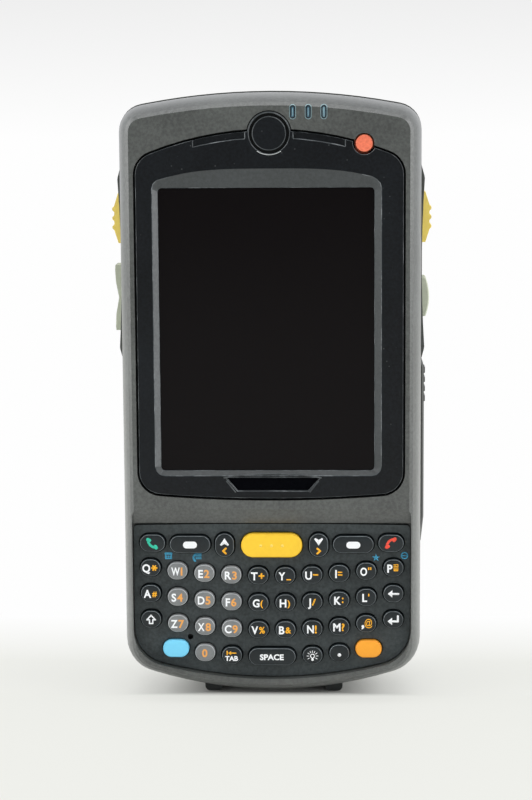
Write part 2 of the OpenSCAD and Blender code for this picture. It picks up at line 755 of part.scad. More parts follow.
module latch_slot(s) {
    mirror([s < 0 ? 1 : 0, 0, 0])
        box(arm_x - arm_t / 2 - latch_travel - 0.2, arm_x + arm_t / 2 + 0.6,
            y_seat - seat_wall - 1, y_seat + 1, latch_z - arm_h / 2 - 0.4, latch_z + arm_h / 2 + 0.4);
}

module button_hole(s, z, length) {
    box(s > 0 ? inner_x - 1 : -pad_reach - 1, s > 0 ? pad_reach + 1 : 1 - inner_x,
        side_y - button_t / 2 - button_gap, side_y + button_t / 2 + button_gap,
        z - length / 2 - button_gap, z + length / 2 + button_gap);
}

module rear_housing() color(HOUSING) difference() {
    rear_outer();
    difference() {
        union() {
            prism(casing(wall), y_split - 1, y_seat - seat_wall);
            prism(head_outline(wall + 0.35), y_seat - 3, y_head - wall);
        }
        rear_kept();
    }
    // battery bay
    box(-bay_w / 2, bay_w / 2, y_seat - bay_d, y_seat + 2, bay_z, bay_z + bay_h);
    // stylus silo, wider at its mouth
    translate([stylus_x, stylus_y, stylus_low - 0.3]) cylinder(r = stylus_r + pin_gap, h = z_top);
    translate([stylus_x, stylus_y, stylus_top - cap_h - 0.3]) cylinder(r = cap_r + pin_gap, h = z_top);
    // scan window's seat in the top end, and the opening under it
    box(-window_w / 2 - pin_gap, window_w / 2 + pin_gap, window_y - window_d / 2 - pin_gap,
        window_y + window_d / 2 + pin_gap, window_z - window_t, z_top + 5);
    box(-window_w / 2 + 1.5, window_w / 2 - 1.5, window_y - window_d / 2 + 1.5, window_y + window_d / 2 - 1.5,
        window_z - window_t - 4, z_top);
    // camera, flash and loudspeaker in the head's back wall
    rod(camera_x, camera_z, camera_r + button_gap, y_head - wall - 1, y_head + 1);
    rod(camera_x, camera_z - flash_drop, flash_r + pin_gap, y_head - wall - 1, y_head + 1);
    for (i = [0:slot_count - 1])
        slot(speaker_x, speaker_z + (i - (slot_count - 1) / 2) * slot_pitch, slot_len, slot_w,
            y_head - wall - 1, y_head + 1);
    // docking connector's recess in the bottom end
    box(-dock_w / 2, dock_w / 2, dock_y - dock_t / 2, dock_y + dock_t / 2, -1, z_low + wall + dock_recess + 1);
    for (s = [-1, 1]) {
        latch_slot(s);
        button_hole(s, side_z, scan_len);
    }
    button_hole(1, lower_side_z, action_len);
    button_hole(-1, lower_side_z, rocker_len + 0.4);
    translate([-rocker_pin_x, side_y + button_t / 2 + rocker_pin_len + 0.2, lower_side_z]) rotate([90, 0, 0])
        cylinder(r = rocker_pin_r + pin_gap, h = button_t + 2 * rocker_pin_len + 0.4);
    // screw holes, with room for the heads
    for (s = screws) {
        back = s[1] > z_head ? y_head : y_seat;
        rod(s[0], s[1], screw_r + pin_gap, y_split - 1, back + 1);
        rod(s[0], s[1], screw_head_r + pin_gap, back - screw_head_h - 0.4, back + 1);
    }
}

module housing_screws() color("silver") for (s = screws) {
    back = s[1] > z_head ? y_head : y_seat;
    seat = back - screw_head_h - 0.4;
    rod(s[0], s[1], screw_r, y_split - screw_bite + 0.5, seat + eps);
    difference() {
        rod(s[0], s[1], screw_head_r, seat, seat + screw_head_h);
        for (a = [0, 90]) translate([s[0], seat + screw_head_h, s[1]]) rotate([0, a, 0])
            cube([0.4, 1.2, 2.4], center = true);
    }
}

module scan_window() color([0.25, 0.03, 0.05])
    box(-window_w / 2, window_w / 2, window_y - window_d / 2, window_y + window_d / 2, window_z - window_t, window_z);

module scan_engine() color("dimgray") {
    y1 = y_head - wall;
    y0 = y1 - engine_d;
    box(-engine_w / 2, engine_w / 2, y0, y1, engine_z - 0.5, engine_z + engine_h - 2);
    translate([0, window_y, engine_z + engine_h - 2 - eps]) difference() {
        cylinder(r = lens_r, h = 1.2);
        translate([0, 0, 0.6]) cylinder(r = lens_r - 0.8, h = 2);
    }
    for (s = [-1, 1]) translate([s * 7.4, window_y, engine_z + engine_h - 2 - eps]) cylinder(r = 1.8, h = 0.8);
}

module camera_module() color(BLACK) {
    y1 = y_head - wall;
    box(camera_x - 4.8, camera_x + 4.8, y1 - 5, y1, camera_z - flash_drop - 2.6, camera_z + 4.8);
    difference() {
        rod(camera_x, camera_z, camera_r, y1 - 1, y_head - 0.3);
        rod(camera_x, camera_z, camera_r - 1, y_head - 0.9, y_head + 1);
    }
    rod(camera_x, camera_z, camera_r - 1.9, y_head - 1, y_head - 0.7);
    rod(camera_x, camera_z - flash_drop, flash_r, y1 - 1, y_head - 0.2);
}

// ---- Battery ----

module battery_pack() color(HOUSING) difference() {
    union() {
        rounded = [for (i = [0:5]) let (a = 18 * i)
            [y_back - back_round_d * (1 - sin(a)), battery_outline(back_round_w * (1 - cos(a)))]];
        skin(concat([[y_seat + 0.1, battery_outline(0.5)], [y_seat + 1.2, battery_outline()]], rounded));
        box(-block_w / 2, block_w / 2, y_seat - block_d, y_seat + 1, bay_z + battery_gap,
            bay_z + battery_gap + block_h);
    }
    for (s = [-1, 1]) mirror([s < 0 ? 1 : 0, 0, 0]) {
        // latch pocket in the side, and the way for its arm
        box(latch_out - latch_in - latch_travel - 0.3, latch_out + 5, latch_y - latch_t / 2 - 0.15,
            latch_y + latch_t / 2 + 0.15, latch_z - latch_h / 2 - 0.15, latch_z + latch_h / 2 + 0.15);
        box(arm_x - arm_t / 2 - latch_travel - 0.2, arm_x + arm_t / 2 + 0.2, y_seat - 1, latch_y,
            latch_z - arm_h / 2 - 0.15, latch_z + arm_h / 2 + 0.15);
    }
    // contact pads
    for (i = [-1.5:1.5]) box(i * 4 - 1.2, i * 4 + 1.2, y_seat - block_d - 1, y_seat - block_d + 0.3,
        bay_z + battery_gap + 1.6, bay_z + battery_gap + 5.6);
    // shallow grip ribs across the lower back
    for (i = [0:4]) box(-18, 18, y_back - 0.5, y_back + 1, z_battery + 10 + 3 * i, z_battery + 11.2 + 3 * i);
}

module battery_latch(s) {
    mirror([s < 0 ? 1 : 0, 0, 0]) color(BLACK) difference() {
        union() {
            box(latch_out - latch_in, latch_out, latch_y - latch_t / 2, latch_y + latch_t / 2,
                latch_z - latch_h / 2, latch_z + latch_h / 2);
            box(arm_x - arm_t / 2, arm_x + arm_t / 2, y_seat - seat_wall - 0.1 - nose_t, latch_y,
                latch_z - arm_h / 2, latch_z + arm_h / 2);
            box(arm_x, arm_x + arm_t / 2 + nose, y_seat - seat_wall - 0.1 - nose_t, y_seat - seat_wall - 0.1,
                latch_z - arm_h / 2, latch_z + arm_h / 2);
        }
        // grip grooves
        for (i = [-1:1]) box(latch_out - 0.5, latch_out + 1, latch_y - latch_t, latch_y + latch_t,
            latch_z + i * 2.4 - 0.5, latch_z + i * 2.4 + 0.5);
    }
}

// ---- Stylus and side buttons ----

module stylus() color(BLACK) translate([stylus_x, stylus_y, 0]) {
    translate([0, 0, stylus_low + tip_h]) cylinder(r = stylus_r, h = stylus_top - cap_h - stylus_low - tip_h);
    translate([0, 0, stylus_low]) cylinder(r1 = tip_r, r2 = stylus_r, h = tip_h + eps);
    difference() {
        translate([0, 0, stylus_top - cap_h - eps]) cylinder(r = cap_r, h = cap_h);
        translate([0, 0, stylus_top - 1.6]) rotate([90, 0, 0]) cylinder(r = 0.5, h = 4 * cap_r, center = true);
    }
}

// The flange holds a side button in behind the wall
module side_button_body(length, outline) {
    prism(outline, side_y - button_t / 2, side_y + button_t / 2);
    box(inner_x - 0.1 - side_flange_t, inner_x - 0.1, side_y - button_t / 2 - side_flange_w,
        side_y + button_t / 2 + side_flange_w, side_z_of(length) - length / 2 - side_flange_w,
        side_z_of(length) + length / 2 + side_flange_w);
}

function side_z_of(length) = length == scan_len ? side_z : lower_side_z;

module scan_button(s) {
    tip = pad_floor + scan_out;
    half = scan_len / 2;
    edge = tooth_pitch * (tooth_count - 1) / 2 + tooth_pitch * 0.35;
    teeth = [for (i = [0:tooth_count - 1]) let (z = side_z + (i - (tooth_count - 1) / 2) * tooth_pitch)
        each [[tip - tooth_h, z - tooth_pitch * 0.34], [tip, z - 0.25], [tip, z + 0.25],
              [tip - tooth_h, z + tooth_pitch * 0.34]]];
    outline = concat(
        [[inner_x - 0.2, side_z - half], [pad_floor + 1, side_z - half], [tip - tooth_h, side_z - edge]],
        teeth,
        [[tip - tooth_h, side_z + edge], [pad_floor + 1, side_z + half], [inner_x - 0.2, side_z + half]]);
    color(YELLOW) mirror([s < 0 ? 1 : 0, 0, 0]) side_button_body(scan_len, outline);
}

module action_button() {
    half = action_len / 2;
    rise = 0.9;
    radius = (half * half + rise * rise) / (2 * rise);
    swing = asin(half / radius);
    tip = pad_floor + rocker_out;
    outline = concat(
        [[inner_x - 0.2, lower_side_z - half]],
        arc(tip - radius, lower_side_z, radius, -swing, swing, 12),
        [[inner_x - 0.2, lower_side_z + half]]);
    color(SAGE) side_button_body(action_len, outline);
}

// The rocker turns on a pin across its middle, and dips there
module volume_rocker() {
    half = rocker_len / 2;
    tip = pad_floor + rocker_out;
    inner = rocker_pin_x - 1;
    color(SAGE) mirror([1, 0, 0]) {
        prism([[inner, lower_side_z - half], [tip - 0.1, lower_side_z - half],
            [tip, lower_side_z - half + 1], [tip - 0.15, lower_side_z - half * 0.5],
            [tip - 0.9, lower_side_z], [tip - 0.15, lower_side_z + half * 0.5],
            [tip, lower_side_z + half - 1], [tip - 0.1, lower_side_z + half], [inner, lower_side_z + half]],
            side_y - button_t / 2, side_y + button_t / 2);
        rod(rocker_pin_x, lower_side_z, rocker_pin_r, side_y - button_t / 2 - rocker_pin_len,
            side_y + button_t / 2 + rocker_pin_len);
    }
}

front_housing();
display_bezel();
touch_panel();
lcd_module();
keypad_plate();
keypad_mat();
main_board();
led_lenses();
rear_housing();
scan_window();
scan_engine();
camera_module();
housing_screws();
battery_pack();
battery_latch(-1);  // battery_latch_left
battery_latch(1);  // battery_latch_right
stylus();
power_button();
scan_button(-1);  // scan_button_left
scan_button(1);  // scan_button_right
volume_rocker();
action_button();
for (k = keys) color(k[2]) for (cap = k[1]) key_cap(cap);
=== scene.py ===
# %% [markdown]
# # A portable barcode data terminal
# This lesson dresses a finished CAD model of a handheld terminal for a studio picture. The CAD model comes
# first, as a fixed frame in metres: it gives every piece its place, so the visible pieces are built on it
# and never fitted.

# %% Load the frame
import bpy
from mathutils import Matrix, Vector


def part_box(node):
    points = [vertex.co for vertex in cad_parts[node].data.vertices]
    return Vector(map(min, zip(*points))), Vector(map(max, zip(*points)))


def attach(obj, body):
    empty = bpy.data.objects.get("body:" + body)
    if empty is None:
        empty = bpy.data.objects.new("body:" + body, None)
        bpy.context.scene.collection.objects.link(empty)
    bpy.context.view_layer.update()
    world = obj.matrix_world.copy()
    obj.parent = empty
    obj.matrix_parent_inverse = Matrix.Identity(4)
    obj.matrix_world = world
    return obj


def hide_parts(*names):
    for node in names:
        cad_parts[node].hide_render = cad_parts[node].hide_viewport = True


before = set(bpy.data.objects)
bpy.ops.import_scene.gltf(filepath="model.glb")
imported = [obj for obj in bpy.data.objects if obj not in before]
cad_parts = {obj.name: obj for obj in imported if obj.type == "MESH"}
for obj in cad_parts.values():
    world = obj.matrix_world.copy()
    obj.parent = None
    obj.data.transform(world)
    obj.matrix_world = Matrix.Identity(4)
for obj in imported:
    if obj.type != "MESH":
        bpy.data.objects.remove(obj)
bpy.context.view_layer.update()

# %% [markdown]
# The terminal stands upright, with its face towards -Y. Sizes on it are easiest to read in millimetres, so
# one constant turns them into Blender's metres. The levels below are read from the frame's own boxes.

# %% Sizes that the pieces share
import math

import bmesh
import bpy
from mathutils import Matrix, Vector

MM = 0.001


def low(node):
    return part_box(node)[0] / MM


def high(node):
    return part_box(node)[1] / MM


FACE = low("front_housing").y
SPLIT = high("front_housing").y
TOP = high("front_housing").z
PLATE = low("keypad_plate").y
KEY_TOP = low("key_q").y
print("face", round(FACE, 2), "parting line", round(SPLIT, 2), "top", round(TOP, 2),
      "key tops", round(KEY_TOP, 2))

# %% [markdown]
# The picture was taken from a little over half a metre away with a long lens, slightly above the terminal,
# a touch to its right, and with the camera not quite level. The same numbers give Blender's camera: a point
# that it aims at, the angles, the distance and the focal length. A small shift puts the aim where it lies
# in the frame.

# %% The camera
PICTURE = (532, 800)
AIM = Vector((0, -21, 77.32)) * MM
DISTANCE, ABOVE, ASIDE, ROLL = 0.5544, math.radians(8.5), math.radians(1.9), math.radians(0.36)
FOCUS_PX, AIM_PX = 2240.0, (270.5, 401.5)

camera_data = bpy.data.cameras.new("camera")
camera = bpy.data.objects.new("camera", camera_data)
bpy.context.scene.collection.objects.link(camera)
back = Vector((math.sin(ASIDE) * math.cos(ABOVE), -math.cos(ASIDE) * math.cos(ABOVE), math.sin(ABOVE)))
side = Vector((0, 0, 1)).cross(back).normalized()
up = back.cross(side)
turned = (side * math.cos(ROLL) - up * math.sin(ROLL), side * math.sin(ROLL) + up * math.cos(ROLL), back)
camera.matrix_world = Matrix.Translation(AIM + back * DISTANCE) @ Matrix(turned).transposed().to_4x4()
camera_data.sensor_fit = "HORIZONTAL"
camera_data.sensor_width = 36
camera_data.lens = 36 * FOCUS_PX / PICTURE[0]
camera_data.shift_x = (PICTURE[0] / 2 - AIM_PX[0]) / PICTURE[0]
camera_data.shift_y = (AIM_PX[1] - PICTURE[1] / 2) / PICTURE[0]
camera_data.clip_start = 0.01
bpy.context.scene.camera = camera
print("lens", round(camera_data.lens, 1), "mm, shift", round(camera_data.shift_x, 4),
      round(camera_data.shift_y, 4))

# %% [markdown]
# Materials are graphs of nodes. Adding them one call at a time hides the sums in them, so a small class
# wraps a socket and overloads Python's operators: `1 - mask * 0.3` then adds the Math nodes by itself.
# Every other node comes from one method, which sets the node first and then its sockets.

# %% Shader maths in Python
def linear(red, green, blue):
    """An 8-bit screen colour as Blender's linear colour."""
    def one(c):
        c /= 255
        return c / 12.92 if c <= 0.04045 else ((c + 0.055) / 1.055) ** 2.4
    return (one(red), one(green), one(blue), 1)


class Wire:
    """A socket that does sums."""

    def __init__(self, finish, socket):
        self.finish, self.socket = finish, socket

    def sum(self, operation, *values, clamp=False):
        settings = {"operation": operation, "use_clamp": clamp}
        return self.finish.add("ShaderNodeMath", settings, dict(enumerate(values)))

    def __add__(self, other):
        return self.sum("ADD", self, other)

    def __radd__(self, other):
        return self.sum("ADD", other, self)

    def __sub__(self, other):
        return self.sum("SUBTRACT", self, other)

    def __rsub__(self, other):
        return self.sum("SUBTRACT", other, self)

    def __mul__(self, other):
        return self.sum("MULTIPLY", self, other)

    def __rmul__(self, other):
        return self.sum("MULTIPLY", other, self)

    def __abs__(self):
        return self.sum("ABSOLUTE", self)

    def above(self, edge, width):
        """0 below the edge, 1 above it, with a ramp of that width between."""
        return self.sum("DIVIDE", self - edge, width, clamp=True)

    def clamped(self):
        return self.sum("ADD", self, 0, clamp=True)


class Finish:
    """A material, or the world, that is being put together."""

    def __init__(self, name, store="materials", space="Object"):
        self.material = getattr(bpy.data, store).new(name)
        self.material.use_nodes = True
        self.tree = self.material.node_tree
        self.tree.nodes.clear()
        self.place = self.add("ShaderNodeTexCoord", output=space)

    def add(self, kind, settings=None, values=None, output=0):
        node = self.tree.nodes.new(kind)
        for name, value in (settings or {}).items():
            setattr(node, name, value)
        for name, value in (values or {}).items():
            if isinstance(value, Wire):
                self.tree.links.new(value.socket, node.inputs[name])
            else:
                node.inputs[name].default_value = value
        return Wire(self, node.outputs[output])

    def scaled(self, x, y, z):
        return self.add("ShaderNodeMapping", values={"Vector": self.place, "Scale": (x, y, z)})

    def noise(self, scale, detail=2.0, place=None, rough=0.5):
        return self.add("ShaderNodeTexNoise", values={
            "Vector": place or self.place, "Scale": scale, "Detail": detail, "Roughness": rough})

    def mix(self, share, first, second):
        return self.add("ShaderNodeMix", {"data_type": "RGBA"}, {0: share, 6: first, 7: second}, output=2)

    def bump(self, height, strength, distance):
        return self.add("ShaderNodeBump", values={
            "Height": height, "Strength": strength, "Distance": distance})

    def done(self, **sockets):
        """Ends the material in one Principled shader with these sockets."""
        named = {name.replace("_", " "): value for name, value in sockets.items()}
        self.add_output(self.add("ShaderNodeBsdfPrincipled", values=named))
        return self.material

    def add_output(self, shader, kind="ShaderNodeOutputMaterial"):
        end = self.tree.nodes.new(kind)
        self.tree.links.new(shader.socket, end.inputs["Surface"])


print("shader helpers ready")

# %% [markdown]
# A product picture needs soft light from both sides. Two large area lamps give it, and a weak one above
# lifts the top end. Large lamps at a modest power leave broad, mild highlights, so no pale button burns
# out.

# %% Lamps
def lamp(name, place, width, height, watts):
    data = bpy.data.lights.new(name, "AREA")
    data.shape = "RECTANGLE"
    data.size, data.size_y = width, height
    data.energy = watts
    thing = bpy.data.objects.new(name, data)
    bpy.context.scene.collection.objects.link(thing)
    thing.location = place
    thing.rotation_euler = (Vector((0, 0, 0.07)) - Vector(place)).to_track_quat("-Z", "Y").to_euler()


lamp("lamp_right", (1.1, -0.25, 0.5), 1.3, 1.4, 13.8)
lamp("lamp_left", (-1.1, -0.25, 0.5), 1.3, 1.4, 13.3)
lamp("lamp_above", (0.0, -0.25, 1.3), 1.2, 0.6, 5)
print("lamps", len(bpy.data.lights))

# %% [markdown]
# The surround lights the terminal as white walls would, and darkens in front of it, where a camera and a
# dark room would be. A black, glossy front shows what lies before it, so this keeps the screen black while
# the rounded sides shine. The camera alone sees a second, plain white surround, a little greyer towards the
# top.

# %% The surround
sky = Finish("studio", "worlds", "Generated")
bpy.context.scene.world = sky.material
fade = sky.add("ShaderNodeMapRange", values={
    "Value": sky.add("ShaderNodeSeparateXYZ", values={0: sky.place}, output="Y"),
    "From Min": -1.0, "From Max": 0.1, "To Min": 0.12, "To Max": 1.0})
dusk = sky.add("ShaderNodeMapRange", values={
    "Value": sky.add("ShaderNodeSeparateXYZ", values={0: sky.place}, output="Z"),
    "From Min": -0.03, "From Max": 0.03, "To Min": 1.0, "To Max": 0.87})
surround = sky.add("ShaderNodeBackground", values={"Color": linear(251, 252, 255), "Strength": fade})
seen = sky.add("ShaderNodeBackground", values={"Color": linear(254, 254, 254), "Strength": dusk})
camera_ray = sky.add("ShaderNodeLightPath", output="Is Camera Ray")
sky.add_output(sky.add("ShaderNodeMixShader", values={0: camera_ray, 1: surround, 2: seen}),
               "ShaderNodeOutputWorld")
bpy.context.scene.view_settings.view_transform = "Standard"
print("surround", sky.material.name)

# %% [markdown]
# The floor is pale paper. Light and reflections meet it as plain paper. The camera sees the paper itself
# only near the terminal, where its shadow lies. To the sides and in front, the paper turns to an even pale
# tone, and further away to the white of the surround, which hides the horizon.

# %% The floor
SHADE_SIDE, SHADE_SIDE_RAMP = 0.015, 0.03
SHADE_FRONT, SHADE_FRONT_RAMP = -0.0095, 0.004
EVEN_SIDE, EVEN_FRONT = 0.75, 0.85

paper = Finish("floor_paper")
grain = paper.noise(30, 3)
matt = paper.add("ShaderNodeBsdfPrincipled", values={
    "Base Color": paper.mix(grain, linear(224, 224, 219), linear(227, 227, 223)), "Roughness": 0.85,
    "Specular IOR Level": 0.1})
white = paper.add("ShaderNodeEmission", values={"Color": linear(254, 254, 254), "Strength": 1.0})
pale = paper.add("ShaderNodeEmission", values={"Color": linear(234, 235, 230), "Strength": 1.0})
across = paper.add("ShaderNodeSeparateXYZ", values={0: paper.place})
deep = paper.add("ShaderNodeSeparateXYZ", values={0: paper.place}, output=1)
away = paper.add("ShaderNodeVectorMath", {"operation": "LENGTH"}, {0: paper.place}, output=1)
beside = abs(across).above(SHADE_SIDE, SHADE_SIDE_RAMP) * EVEN_SIDE
before = (SHADE_FRONT - deep).above(0, SHADE_FRONT_RAMP) * EVEN_FRONT
even = beside.sum("MAXIMUM", beside, before)
near = paper.add("ShaderNodeMixShader", values={0: even, 1: matt, 2: pale})
far = away.sum("MAXIMUM", away.above(0.15, 0.15), deep.above(0.02, 0.05))
shown = paper.add("ShaderNodeMixShader", values={0: far, 1: near, 2: white})
camera_ray = paper.add("ShaderNodeLightPath", output="Is Camera Ray")
paper.add_output(paper.add("ShaderNodeMixShader", values={0: camera_ray, 1: matt, 2: shown}))

floor = bmesh.new()
bmesh.ops.create_circle(floor, cap_ends=True, segments=96, radius=1.6)
floor_mesh = bpy.data.meshes.new("floor")
floor.to_mesh(floor_mesh)
floor.free()
floor_mesh.materials.append(paper.material)
floor_object = bpy.data.objects.new("floor", floor_mesh)
bpy.context.scene.collection.objects.link(floor_object)
print("floor", round(floor_object.dimensions.x, 2), "m across")

# %% [markdown]
# The casing is moulded plastic with a fine matt grain. Its colour isn't even: handling has polished some
# places, and small scuffs show lighter. Two noises of very different scale do this. Stretched noise gives
# the scratches, and a threshold keeps only its rarest peaks, so most of the surface stays calm.

# %% Finishes for moulded plastic
def moulded(name, colour, rough=0.5, grain=0.25, scuffs=0.35, spread=0.14, shine=0.5, dust=0.0,
            coat=0.0):
    finish = Finish(name)
    pale = tuple(min(1, c * (1 + spread) + 0.002) for c in colour[:3]) + (1,)
    deep = tuple(c * (1 - spread) for c in colour[:3]) + (1,)
    cloud = finish.noise(45, 4)
    fleck = finish.noise(1300, 3, rough=0.65)
    base = finish.mix(cloud.above(0.32, 0.36) * 0.45 + fleck.above(0.36, 0.28) * 0.55, deep, pale)
    scratch = finish.noise(1, 5, finish.scaled(2600, 700, 260), 0.65).above(0.66, 0.08)
    places = finish.noise(60, 2).above(0.48, 0.2)
    worn = (scratch * places * scuffs).clamped()
    light = tuple(min(1, c * 1.9 + 0.05) for c in colour[:3]) + (1,)
    base = finish.mix(worn, base, light)
    if dust:
        speck = finish.add("ShaderNodeTexVoronoi", values={"Vector": finish.place, "Scale": 520.0})
        dusty = (0.11 - speck).above(0, 0.05) * finish.noise(70, 2).above(0.52, 0.08) * dust
        base = finish.mix(dusty, base, linear(112, 115, 115))
    pores = finish.noise(5200, 2)
    return finish.done(
        Base_Color=base, Roughness=(rough - 0.06 + cloud * 0.12 + worn * 0.1).clamped(),
        Specular_IOR_Level=shine, Coat_Weight=coat, Coat_Roughness=0.3,
        Normal=finish.bump(pores, grain, 0.00004))


HOUSING = moulded("housing_plastic", linear(70, 73, 71), 0.38, 0.35, 0.7, 0.5, 0.55, coat=0.5)
REAR = moulded("rear_plastic", linear(72, 75, 72), 0.44, 0.45, 0.4, 0.3, coat=0.1)
BEZEL = moulded("bezel_plastic", linear(11, 15, 19), 0.36, 0.2, 0.2, 0.6, 0.2, dust=0.35)
# Painted light and shade on the screen frame's slope: the lighter grey for its left side, which faces the
# right lamp, the darker for its shaded top, right and bottom.
FRAME_PAINTED_LIGHT = moulded("screen_frame_plastic", linear(96, 99, 101), 0.4, 0.3, 0.3, 0.25, 0.4)
FRAME_PAINTED_SHADE = moulded("screen_frame_dark_plastic", linear(59, 63, 64), 0.4, 0.3, 0.3, 0.25, 0.35)
PLATE_FINISH = moulded("keypad_plate_plastic", linear(61, 67, 68), 0.6, 0.5, 0.25, 0.4, 0.25, dust=0.2)
BATTERY = moulded("battery_plastic", linear(62, 64, 61), 0.6, 0.5, 0.4)
FOOT = moulded("foot_plastic", linear(50, 54, 53), 0.7, 0.3, 0.2)
# Painted shade: near-black for groove bottoms and hole walls, where little light reaches.
SHADED = moulded("groove_plastic", linear(15, 17, 18), 0.7, 0.2, 0.0, 0.2, 0.15)
# Painted shade: near-black for the slot's recess under the screen, darker than the grooves.
SLOT_PAINTED_SHADE = moulded("slot_plastic", linear(3, 4, 8), 0.8, 0.2, 0.0, 0.2, 0.02)
print("finishes", len(bpy.data.materials))

# %% [markdown]
# Edges wear first: the grain is rubbed off there, and they turn lighter and smoother. Edges also catch the
# light, so these finishes are part wear and part painted highlight. The Bevel modifier can hand its new faces
# a finish of their own, so a worn, lit edge costs nothing to model. A coarse noise breaks the wear and the
# painted highlight up, so that no edge is an even line.

# %% Finishes for worn edges with painted highlights
def edge_wear_and_sheen(name, colour, light, rough=0.35, amount=0.45):
    finish = Finish(name)
    wear_and_sheen = finish.noise(190, 4, rough=0.7).above(amount, 0.25)
    return finish.done(
        Base_Color=finish.mix(wear_and_sheen, colour, light), Roughness=(rough + wear_and_sheen * 0.12).clamped(),
        Specular_IOR_Level=0.5, Normal=finish.bump(finish.noise(2600, 2), 0.2, 0.00003))


# Bevel faces: wear plus a painted highlight, lighter than the faces beside them.
HOUSING_EDGE_WEAR_SHEEN = edge_wear_and_sheen("housing_worn_edge", linear(118, 120, 116), linear(216, 218, 214), 0.34, 0.36)
REAR_EDGE_WEAR_SHEEN = edge_wear_and_sheen("rear_worn_edge", linear(92, 94, 90), linear(140, 142, 138), 0.4)
BEZEL_EDGE_WEAR_SHEEN = edge_wear_and_sheen("bezel_worn_edge", linear(66, 72, 75), linear(150, 156, 159), 0.3, 0.48)
print("finishes", len(bpy.data.materials))

# %% [markdown]
# The keys are silicone caps under a hard lacquer, so each colour has the same faint unevenness and a soft
# gloss. The side buttons are a little rougher, and the screen is a smooth film with almost no colour of its
# own.

# %% Finishes for keys, buttons and the screen
def lacquer(name, colour, rough=0.35, spread=0.05, shine=0.4):
    finish = Finish(name)
    cloud = finish.noise(160, 3) * 0.5 + finish.noise(1100, 2) * 0.5
    pale = tuple(min(1, c * (1 + spread)) for c in colour[:3]) + (1,)
    deep = tuple(c * (1 - spread) for c in colour[:3]) + (1,)
    return finish.done(
        Base_Color=finish.mix(cloud.above(0.3, 0.4), deep, pale),
        Roughness=(rough - 0.04 + cloud * 0.08).clamped(), Specular_IOR_Level=shine,
        Normal=finish.bump(finish.noise(4000, 2), 0.12, 0.00003))


KEY_FINISH = {
    "black": lacquer("key_black", linear(24, 31, 34), 0.36, 0.35, 0.35),
    "grey": lacquer("key_grey", linear(123, 126, 127), 0.42, 0.1),
    "yellow": lacquer("key_yellow", linear(252, 205, 58), 0.45, 0.04, 0.25),
    "blue": lacquer("key_blue", linear(126, 215, 249), 0.45, 0.03, 0.25),
    "orange": lacquer("key_orange", linear(252, 169, 54), 0.45, 0.04, 0.25),
}
# Painted light on a band of each key's rim: a lighter sheen on black and grey keys, a darker edge shade on
# yellow, blue and orange ones.
KEY_EDGE_PAINTED_LIGHT = {
    "black": lacquer("key_black_rim", linear(112, 119, 122), 0.3, 0.4),
    "grey": lacquer("key_grey_rim", linear(182, 186, 187), 0.35, 0.15),
    "yellow": lacquer("key_yellow_rim", linear(240, 186, 50), 0.4, 0.05, 0.25),
    "blue": lacquer("key_blue_rim", linear(120, 208, 244), 0.4, 0.05, 0.25),
    "orange": lacquer("key_orange_rim", linear(246, 152, 54), 0.4, 0.05, 0.25),
}
INK = {
    "white": lacquer("ink_white", linear(244, 246, 248), 0.5, 0.03, 0.2),
    "orange": lacquer("ink_orange", linear(248, 178, 44), 0.5, 0.06, 0.2),
    "amber": lacquer("ink_amber", linear(236, 168, 92), 0.5, 0.05, 0.2),
    "green": lacquer("ink_green", linear(58, 196, 164), 0.5, 0.06, 0.2),
    "red": lacquer("ink_red", linear(236, 84, 66), 0.5, 0.06, 0.2),
    "blue": lacquer("ink_blue", linear(78, 164, 200), 0.5, 0.08, 0.2),
    "gold": lacquer("ink_gold", linear(255, 220, 108), 0.5, 0.02, 0.2),
}
SIDE_YELLOW = lacquer("side_button_yellow", linear(255, 224, 116), 0.5, 0.06, 0.3)
SIDE_GREY = lacquer("side_button_grey", linear(192, 198, 178), 0.6, 0.08, 0.3)
POWER_RED = moulded("power_button_red", linear(248, 122, 90), 0.45, 0.4, 0.9, 0.25, 0.4)

screen = Finish("screen_film")
smudge = screen.noise(25, 4)
SCREEN = screen.done(
    Base_Color=screen.mix(smudge, linear(12, 9, 10), linear(15, 12, 13)),
    Roughness=(0.14 + smudge * 0.1).clamped(), Specular_IOR_Level=0.08)
print("finishes", len(bpy.data.materials))

# %% [markdown]
# CAD solids arrive as loose triangles with knife-sharp edges, and no moulded edge is that sharp. A copy of
# such a node is merged, its flat triangles are joined into whole faces, and a narrow Bevel modifier then
# gives each real edge the small radius that catches the light. Weighted normals keep the wide faces flat
# beside it. The front shell is the first piece made this way.

# %% From a CAD node to a soft-edged piece
def keep(name, bm, finish, body, replaced=()):
    """A finished bmesh as a piece that rides on a body."""
    mesh = bpy.data.meshes.new(name)
    bm.to_mesh(mesh)
    bm.free()
    for face in mesh.polygons:
        face.use_smooth = True
    mesh.materials.append(finish)
    thing = bpy.data.objects.new(name, mesh)
    bpy.context.scene.collection.objects.link(thing)
    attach(thing, body)
    if replaced:
        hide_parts(*replaced)
    return thing


def softened(thing, width, angle=30, segments=2, edge=None):
    thing.data.set_sharp_from_angle(angle=math.radians(angle))
    bevel = thing.modifiers.new("edges", "BEVEL")
    bevel.width, bevel.segments, bevel.limit_method = width * MM, segments, "ANGLE"
    bevel.angle_limit, bevel.use_clamp_overlap = math.radians(angle), True
    bevel.miter_outer = "MITER_ARC"
    if edge:
        thing.data.materials.append(edge)
        bevel.material = len(thing.data.materials) - 1
    normals = thing.modifiers.new("normals", "WEIGHTED_NORMAL")
    normals.keep_sharp, normals.weight = True, 80


